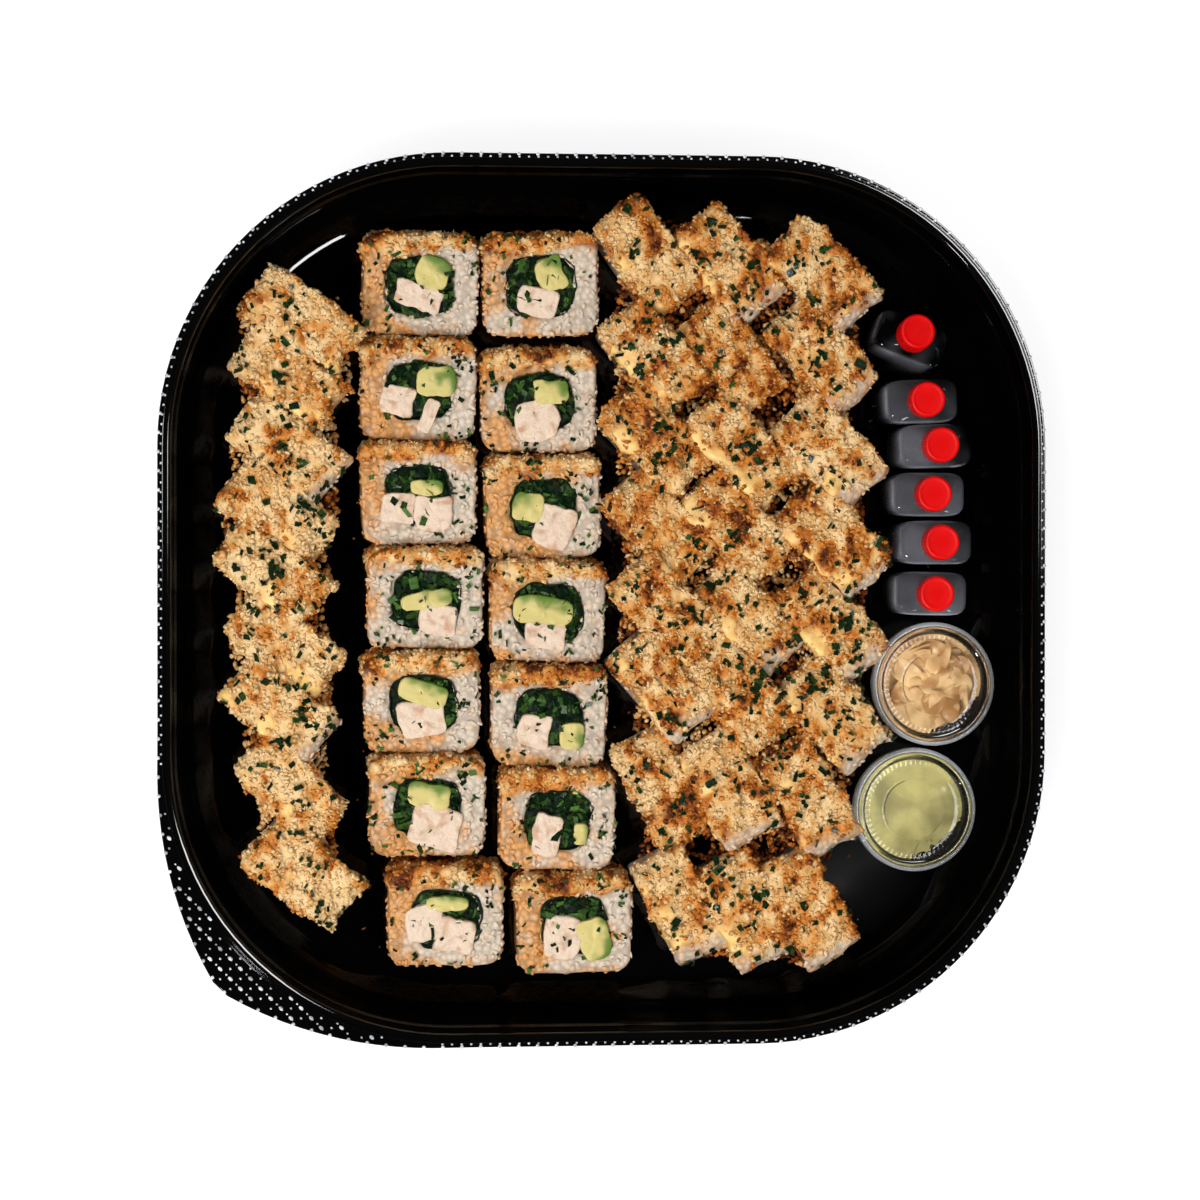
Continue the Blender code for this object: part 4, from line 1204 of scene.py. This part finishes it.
class SUSHI_OT_crumbs(bpy.types.Operator):
    """Crumbs on the crusts and on the tray's floor"""

    bl_idname = "sushi.crumbs"
    bl_label = "Crumbs"

    def execute(self, context):
        look = context.scene.sushi_rolls
        rng = np.random.default_rng(82)
        skins = all_skins()
        wedged = gap_places(WEDGED_CRUMBS, rng)
        fallen = np.column_stack([rng.uniform(-142, 142, (FALLEN_CRUMBS, 2)), np.full(FALLEN_CRUMBS, STAND)])
        beyond = np.maximum(np.abs(fallen[:, :2]) - CORNER_CENTRE, 0.0)
        fallen = fallen[np.hypot(*beyond.T) < FLOOR_HALF - CORNER_CENTRE - 2.0]
        for name, count, loose, least_most, shape, chance in (
            ("coarse_crumbs", look.flakes - len(wedged), wedged, COARSE_SIZES, small_shape(2, 5), 0.14),
            ("fine_crumbs", look.crumbs, fallen, FINE_SIZES, small_shape(1, 4), 0.17),
        ):
            on_standing = int(count * CRUMBS_ON_STANDING)
            counts = (on_standing, count - on_standing)
            places, normals, tone = scattered(skins, counts, crumb_weight, "tone", rng)
            places = np.concatenate([places, loose])
            normals = np.concatenate([normals, np.tile([0.0, 0.0, 1.0], (len(loose), 1))])
            tone = np.concatenate([tone, crust_tone(loose) - 0.3]) + rng.uniform(-chance, chance, len(places))
            sizes = rng.uniform(*least_most, (len(places), 3))
            axes = facing(normals, 0.7, rng)
            points, triangles = copies(shape, places + 0.25 * normals, axes, sizes, 0.3, rng)
            values = {"tone": np.repeat(np.clip(tone, 0.0, 1.0), len(shape[0]))}
            piece(name, (points, triangles, values), crumb_finish(look, name))
        return {"FINISHED"}


class SUSHI_OT_grains(bpy.types.Operator):
    """Rice grains that show on the rolls"""

    bl_idname = "sushi.grains"
    bl_label = "Rice grains"

    def execute(self, context):
        look = context.scene.sushi_rolls
        rng = np.random.default_rng(91)
        counts = [int(share * look.grains) for share in (GRAINS_ON_STANDING, 1.0 - GRAINS_ON_STANDING)]
        places, normals, toast = scattered(all_skins(), counts, grain_weight, "toast", rng)
        clear = outside_fillings(places)
        places, normals, toast = places[clear], normals[clear], toast[clear]
        sizes = rng.uniform(*GRAIN_SIZES, (len(places), 3))
        axes = facing(normals, 0.25, rng)
        points, triangles = copies(small_shape(3, 6), places + 0.18 * normals, axes, sizes, 0.08, rng)
        patches = 0.5 * noise(places, 5.0, 92) - 0.25
        tone = toast * 0.9 + patches + rng.uniform(-0.12, 0.12, len(places))
        tone = np.repeat(np.clip(tone, 0.0, 1.0), 20)
        finish = toned_finish("rice_grain", look.rice, look.toast, 0.42, 1.2, 0.12)
        piece("rice_grains", (points, triangles, {"tone": tone}), finish)
        return {"FINISHED"}


class SUSHI_OT_leaves(bpy.types.Operator):
    """Chopped leaves in the fillings and over the rolls"""

    bl_idname = "sushi.leaves"
    bl_label = "Leaves"

    def execute(self, context):
        look = context.scene.sushi_rolls
        rng = np.random.default_rng(95)
        counts = [int(share * look.leaves) for share in LEAVES_ON_ROLLS]
        count = int((1.0 - sum(LEAVES_ON_ROLLS)) * look.leaves)
        over = scattered(all_skins(), counts, leaf_weight, "tone", rng)
        inside = scattered([filling_piles()[2].merged()], [count], bed_weight, "tone", rng)
        places, normals, _ = (np.concatenate(column) for column in zip(over, inside))
        sizes = rng.uniform(*LEAF_SIZES, (len(places), 3))
        sizes[-count:, :2] *= 1.55
        lift = rng.uniform(0.3, 1.1, (len(places), 1))
        lift[-count:] *= rng.choice((0.3, 2.2), (count, 1), p=(0.88, 0.12))
        sizes[:, :2] *= rng.choice((1.0, 1.6), (len(places), 1), p=(0.88, 0.12))
        on_standing = slice(0, counts[0])
        sizes[on_standing, :2] *= 1.25
        lift[on_standing] += 0.4
        raised = places + lift * normals
        points, triangles = copies(flat_box(), raised, facing(normals, 0.4, rng), sizes, 0.3, rng)
        tone = rng.normal(0.25, 0.32, len(places))
        tone[on_standing] *= 0.4
        tone = np.repeat(np.clip(tone, 0.0, 1.0), 8)
        finish = toned_finish("chopped_leaf", look.leaf, look.bright_leaf, 0.28, 1.0, 0.1)
        piece("chopped_leaves", (points, triangles, {"tone": tone}), finish, smooth=False)
        return {"FINISHED"}


class SUSHI_OT_bottles(bpy.types.Operator):
    """Six sauce bottles with red caps"""

    bl_idname = "sushi.bottles"
    bl_label = "Bottles"

    def execute(self, context):
        look = context.scene.sushi_vessels
        body, sauce, caps = bottle_piles()
        clear = clear_finish("bottle_plastic", shade(12, 13, 14), look.bottle, 0.06, 0.72)
        nodes = [f"soy_bottle_{index + 1}" for index in range(len(BOTTLES))]
        piece("bottle_bodies", body.merged(), clear, nodes)
        soy = toned_finish("soy_sauce", look.soy, dimmed(look.soy, 1.6), 0.2, 8.0, 0.02)
        piece("bottle_sauce", sauce.merged(), soy)
        red = toned_finish("red_cap", look.cap, dimmed(look.cap, 0.85), 0.4, 1.5, 0.03)
        piece("bottle_caps", caps.merged(), red)
        return {"FINISHED"}


class SUSHI_OT_pots(bpy.types.Operator):
    """Two lidded pots, one with sliced ginger and one with green paste"""

    bl_idname = "sushi.pots"
    bl_label = "Pots"

    def execute(self, context):
        look = context.scene.sushi_vessels
        clear = clear_finish("pot_plastic", (0.98, 0.99, 0.99), (0.99, 1.0, 1.0), 0.02, 1.0)
        # The ring's milky white is painted reflection: it stands in for the soft light that the clear ring
        # mirrors all round.
        milk_and_painted_reflection = clear_finish("ring_plastic", (0.4, 0.4, 0.4), (0.86, 0.88, 0.9), 0.06, 0.9)
        for name, place in (("ginger", GINGER_POT), ("wasabi", WASABI_POT)):
            well, ring = lid_skins(*place)
            piece(f"{name}_pot", cup_skin(*place), clear, [f"{name}_cup"])
            piece(f"{name}_pot_lid", well, clear, [f"{name}_lid"])
            piece(f"{name}_pot_ring", ring, milk_and_painted_reflection)
        dark_ginger = dimmed(look.ginger, 0.5, 0.36, 0.24)
        slices = toned_finish("ginger_slice", dark_ginger, look.ginger, 0.32, 4.0, 0.25)
        bed = Pile()
        bed.add(*contents_skin(*GINGER_POT, 1, 2.2, 2.0))
        bed.add(*ginger_slices(*GINGER_POT))
        piece("ginger_filling", bed.merged(), slices, ["ginger_contents"])
        dark_paste = dimmed(look.wasabi, 0.5)
        paste = toned_finish("wasabi_paste", dark_paste, look.wasabi, 0.5, 3.0, 0.3)
        filling = contents_skin(*WASABI_POT, 2, 2.6, 2.0)
        piece("wasabi_filling", filling, paste, ["wasabi_contents"])
        return {"FINISHED"}


def soft_light(name, azimuth, elevation, distance, size, power, mirrored=True):
    """A square lamp that faces the tray, from an azimuth that is 0 at the front and 90 at the right.

    A lamp that isn't mirrored lights the surfaces but doesn't show on shiny ones. No lamp shows through the
    plastic, because its light already passes straight through.
    """
    a, e = math.radians(azimuth), math.radians(elevation)
    away = Vector((math.sin(a) * math.cos(e), -math.cos(a) * math.cos(e), math.sin(e)))
    lamp = bpy.data.lights.new(name, "AREA")
    lamp.size = size
    lamp.energy = power
    made = bpy.data.objects.new(name, lamp)
    made.location = away * distance
    made.rotation_euler = away.to_track_quat("Z", "Y").to_euler()
    made.visible_glossy = mirrored
    made.visible_transmission = False
    bpy.context.scene.collection.objects.link(made)
    return made


class SUSHI_OT_stage(bpy.types.Operator):
    """The pale floor, the soft lights and the camera"""

    bl_idname = "sushi.stage"
    bl_label = "Stage"

    def execute(self, context):
        look = context.scene.sushi_stage
        scene = context.scene
        scene.view_settings.view_transform = "Standard"
        reach = STAGE_REACH
        mesh = bpy.data.meshes.new("stage_floor")
        corners = [(-reach, -reach, 0.0), (reach, -reach, 0.0), (reach, reach, 0.0), (-reach, reach, 0.0)]
        mesh.from_pydata(corners, [], [(0, 1, 2, 3)])
        floor = bpy.data.objects.new("stage_floor", mesh)
        scene.collection.objects.link(floor)
        pale = Finish("stage_floor", roughness=0.8)
        grain = pale.cloud(60.0, 3.0)
        pale.set(base_color=pale.mix(grain, dimmed(look.floor, 0.48), dimmed(look.floor, 0.5)))
        pale.shader.inputs["Emission Color"].default_value = (*look.floor, 1.0)
        pale.shader.inputs["Emission Strength"].default_value = 0.85
        mesh.materials.append(pale.material)

        soft_light("key_light", -45, 58, 1.7, 0.9, look.key, mirrored=False)
        soft_light("spark_light", -40, 42, 1.6, 0.14, 0.25 * look.key)
        soft_light("left_light", -135, 50, 1.8, 1.0, look.fill, mirrored=False)
        soft_light("right_light", 60, 50, 1.8, 1.0, look.fill, mirrored=False)
        for name, (*setting, names) in SHINES.items():
            lamp = soft_light(name, *setting)
            lit = bpy.data.collections.new(lamp.name)
            for lit_name in names:
                lit.objects.link(bpy.data.objects[lit_name])
            lamp.light_linking.receiver_collection = lit
        world = bpy.data.worlds.new("surround")
        scene.world = world
        world.use_nodes = True
        world.node_tree.nodes["Background"].inputs[0].default_value = (0.96, 0.98, 1.0, 1.0)
        world.node_tree.nodes["Background"].inputs[1].default_value = look.surround
        world.cycles_visibility.glossy = False

        camera = bpy.data.cameras.new("camera")
        camera.sensor_width = 36.0
        camera.lens = CAMERA_LENS
        camera.clip_start, camera.clip_end = 0.05, 20.0
        made = bpy.data.objects.new("camera", camera)
        place, target = Vector(CAMERA_PLACE), Vector(CAMERA_TARGET)
        forward = (target - place).normalized()
        right = forward.cross(Vector((0.0, 1.0, 0.0))).normalized()
        up = right.cross(forward)
        roll = math.radians(CAMERA_ROLL)
        right, up = right * math.cos(roll) + up * math.sin(roll), up * math.cos(roll) - right * math.sin(roll)
        made.matrix_world = Matrix.Translation(place) @ Matrix((right, up, -forward)).transposed().to_4x4()
        scene.collection.objects.link(made)
        scene.camera = made
        return {"FINISHED"}


OPERATORS = [
    SUSHI_OT_tray,
    SUSHI_OT_rolls,
    SUSHI_OT_fillings,
    SUSHI_OT_crumbs,
    SUSHI_OT_grains,
    SUSHI_OT_leaves,
    SUSHI_OT_bottles,
    SUSHI_OT_pots,
    SUSHI_OT_stage,
]


class SUSHI_PT_panel(bpy.types.Panel):
    """Lists the pieces of the tray"""

    bl_idname = "SUSHI_PT_panel"
    bl_label = "Sushi tray"
    bl_space_type = "VIEW_3D"
    bl_region_type = "UI"
    bl_category = "Sushi tray"

    def draw(self, context):
        for operator in OPERATORS:
            self.layout.operator(operator.bl_idname)
        for name in LOOKS:
            box = self.layout.box()
            look = getattr(context.scene, name)
            for key in look.__annotations__:
                box.prop(look, key)


LOOKS = {
    "sushi_tray": TrayLook,
    "sushi_rolls": RollLook,
    "sushi_vessels": VesselLook,
    "sushi_stage": StageLook,
}


def register():
    for made in [*LOOKS.values(), *OPERATORS, SUSHI_PT_panel]:
        bpy.utils.register_class(made)
    for name, look in LOOKS.items():
        setattr(bpy.types.Scene, name, bpy.props.PointerProperty(type=look))


def unregister():
    for name in LOOKS:
        delattr(bpy.types.Scene, name)
    for made in reversed([*LOOKS.values(), *OPERATORS, SUSHI_PT_panel]):
        bpy.utils.unregister_class(made)


def main():
    register()
    for operator in OPERATORS:
        group, name = operator.bl_idname.split(".")
        getattr(getattr(bpy.ops, group), name)()


if __name__ == "__main__":
    main()
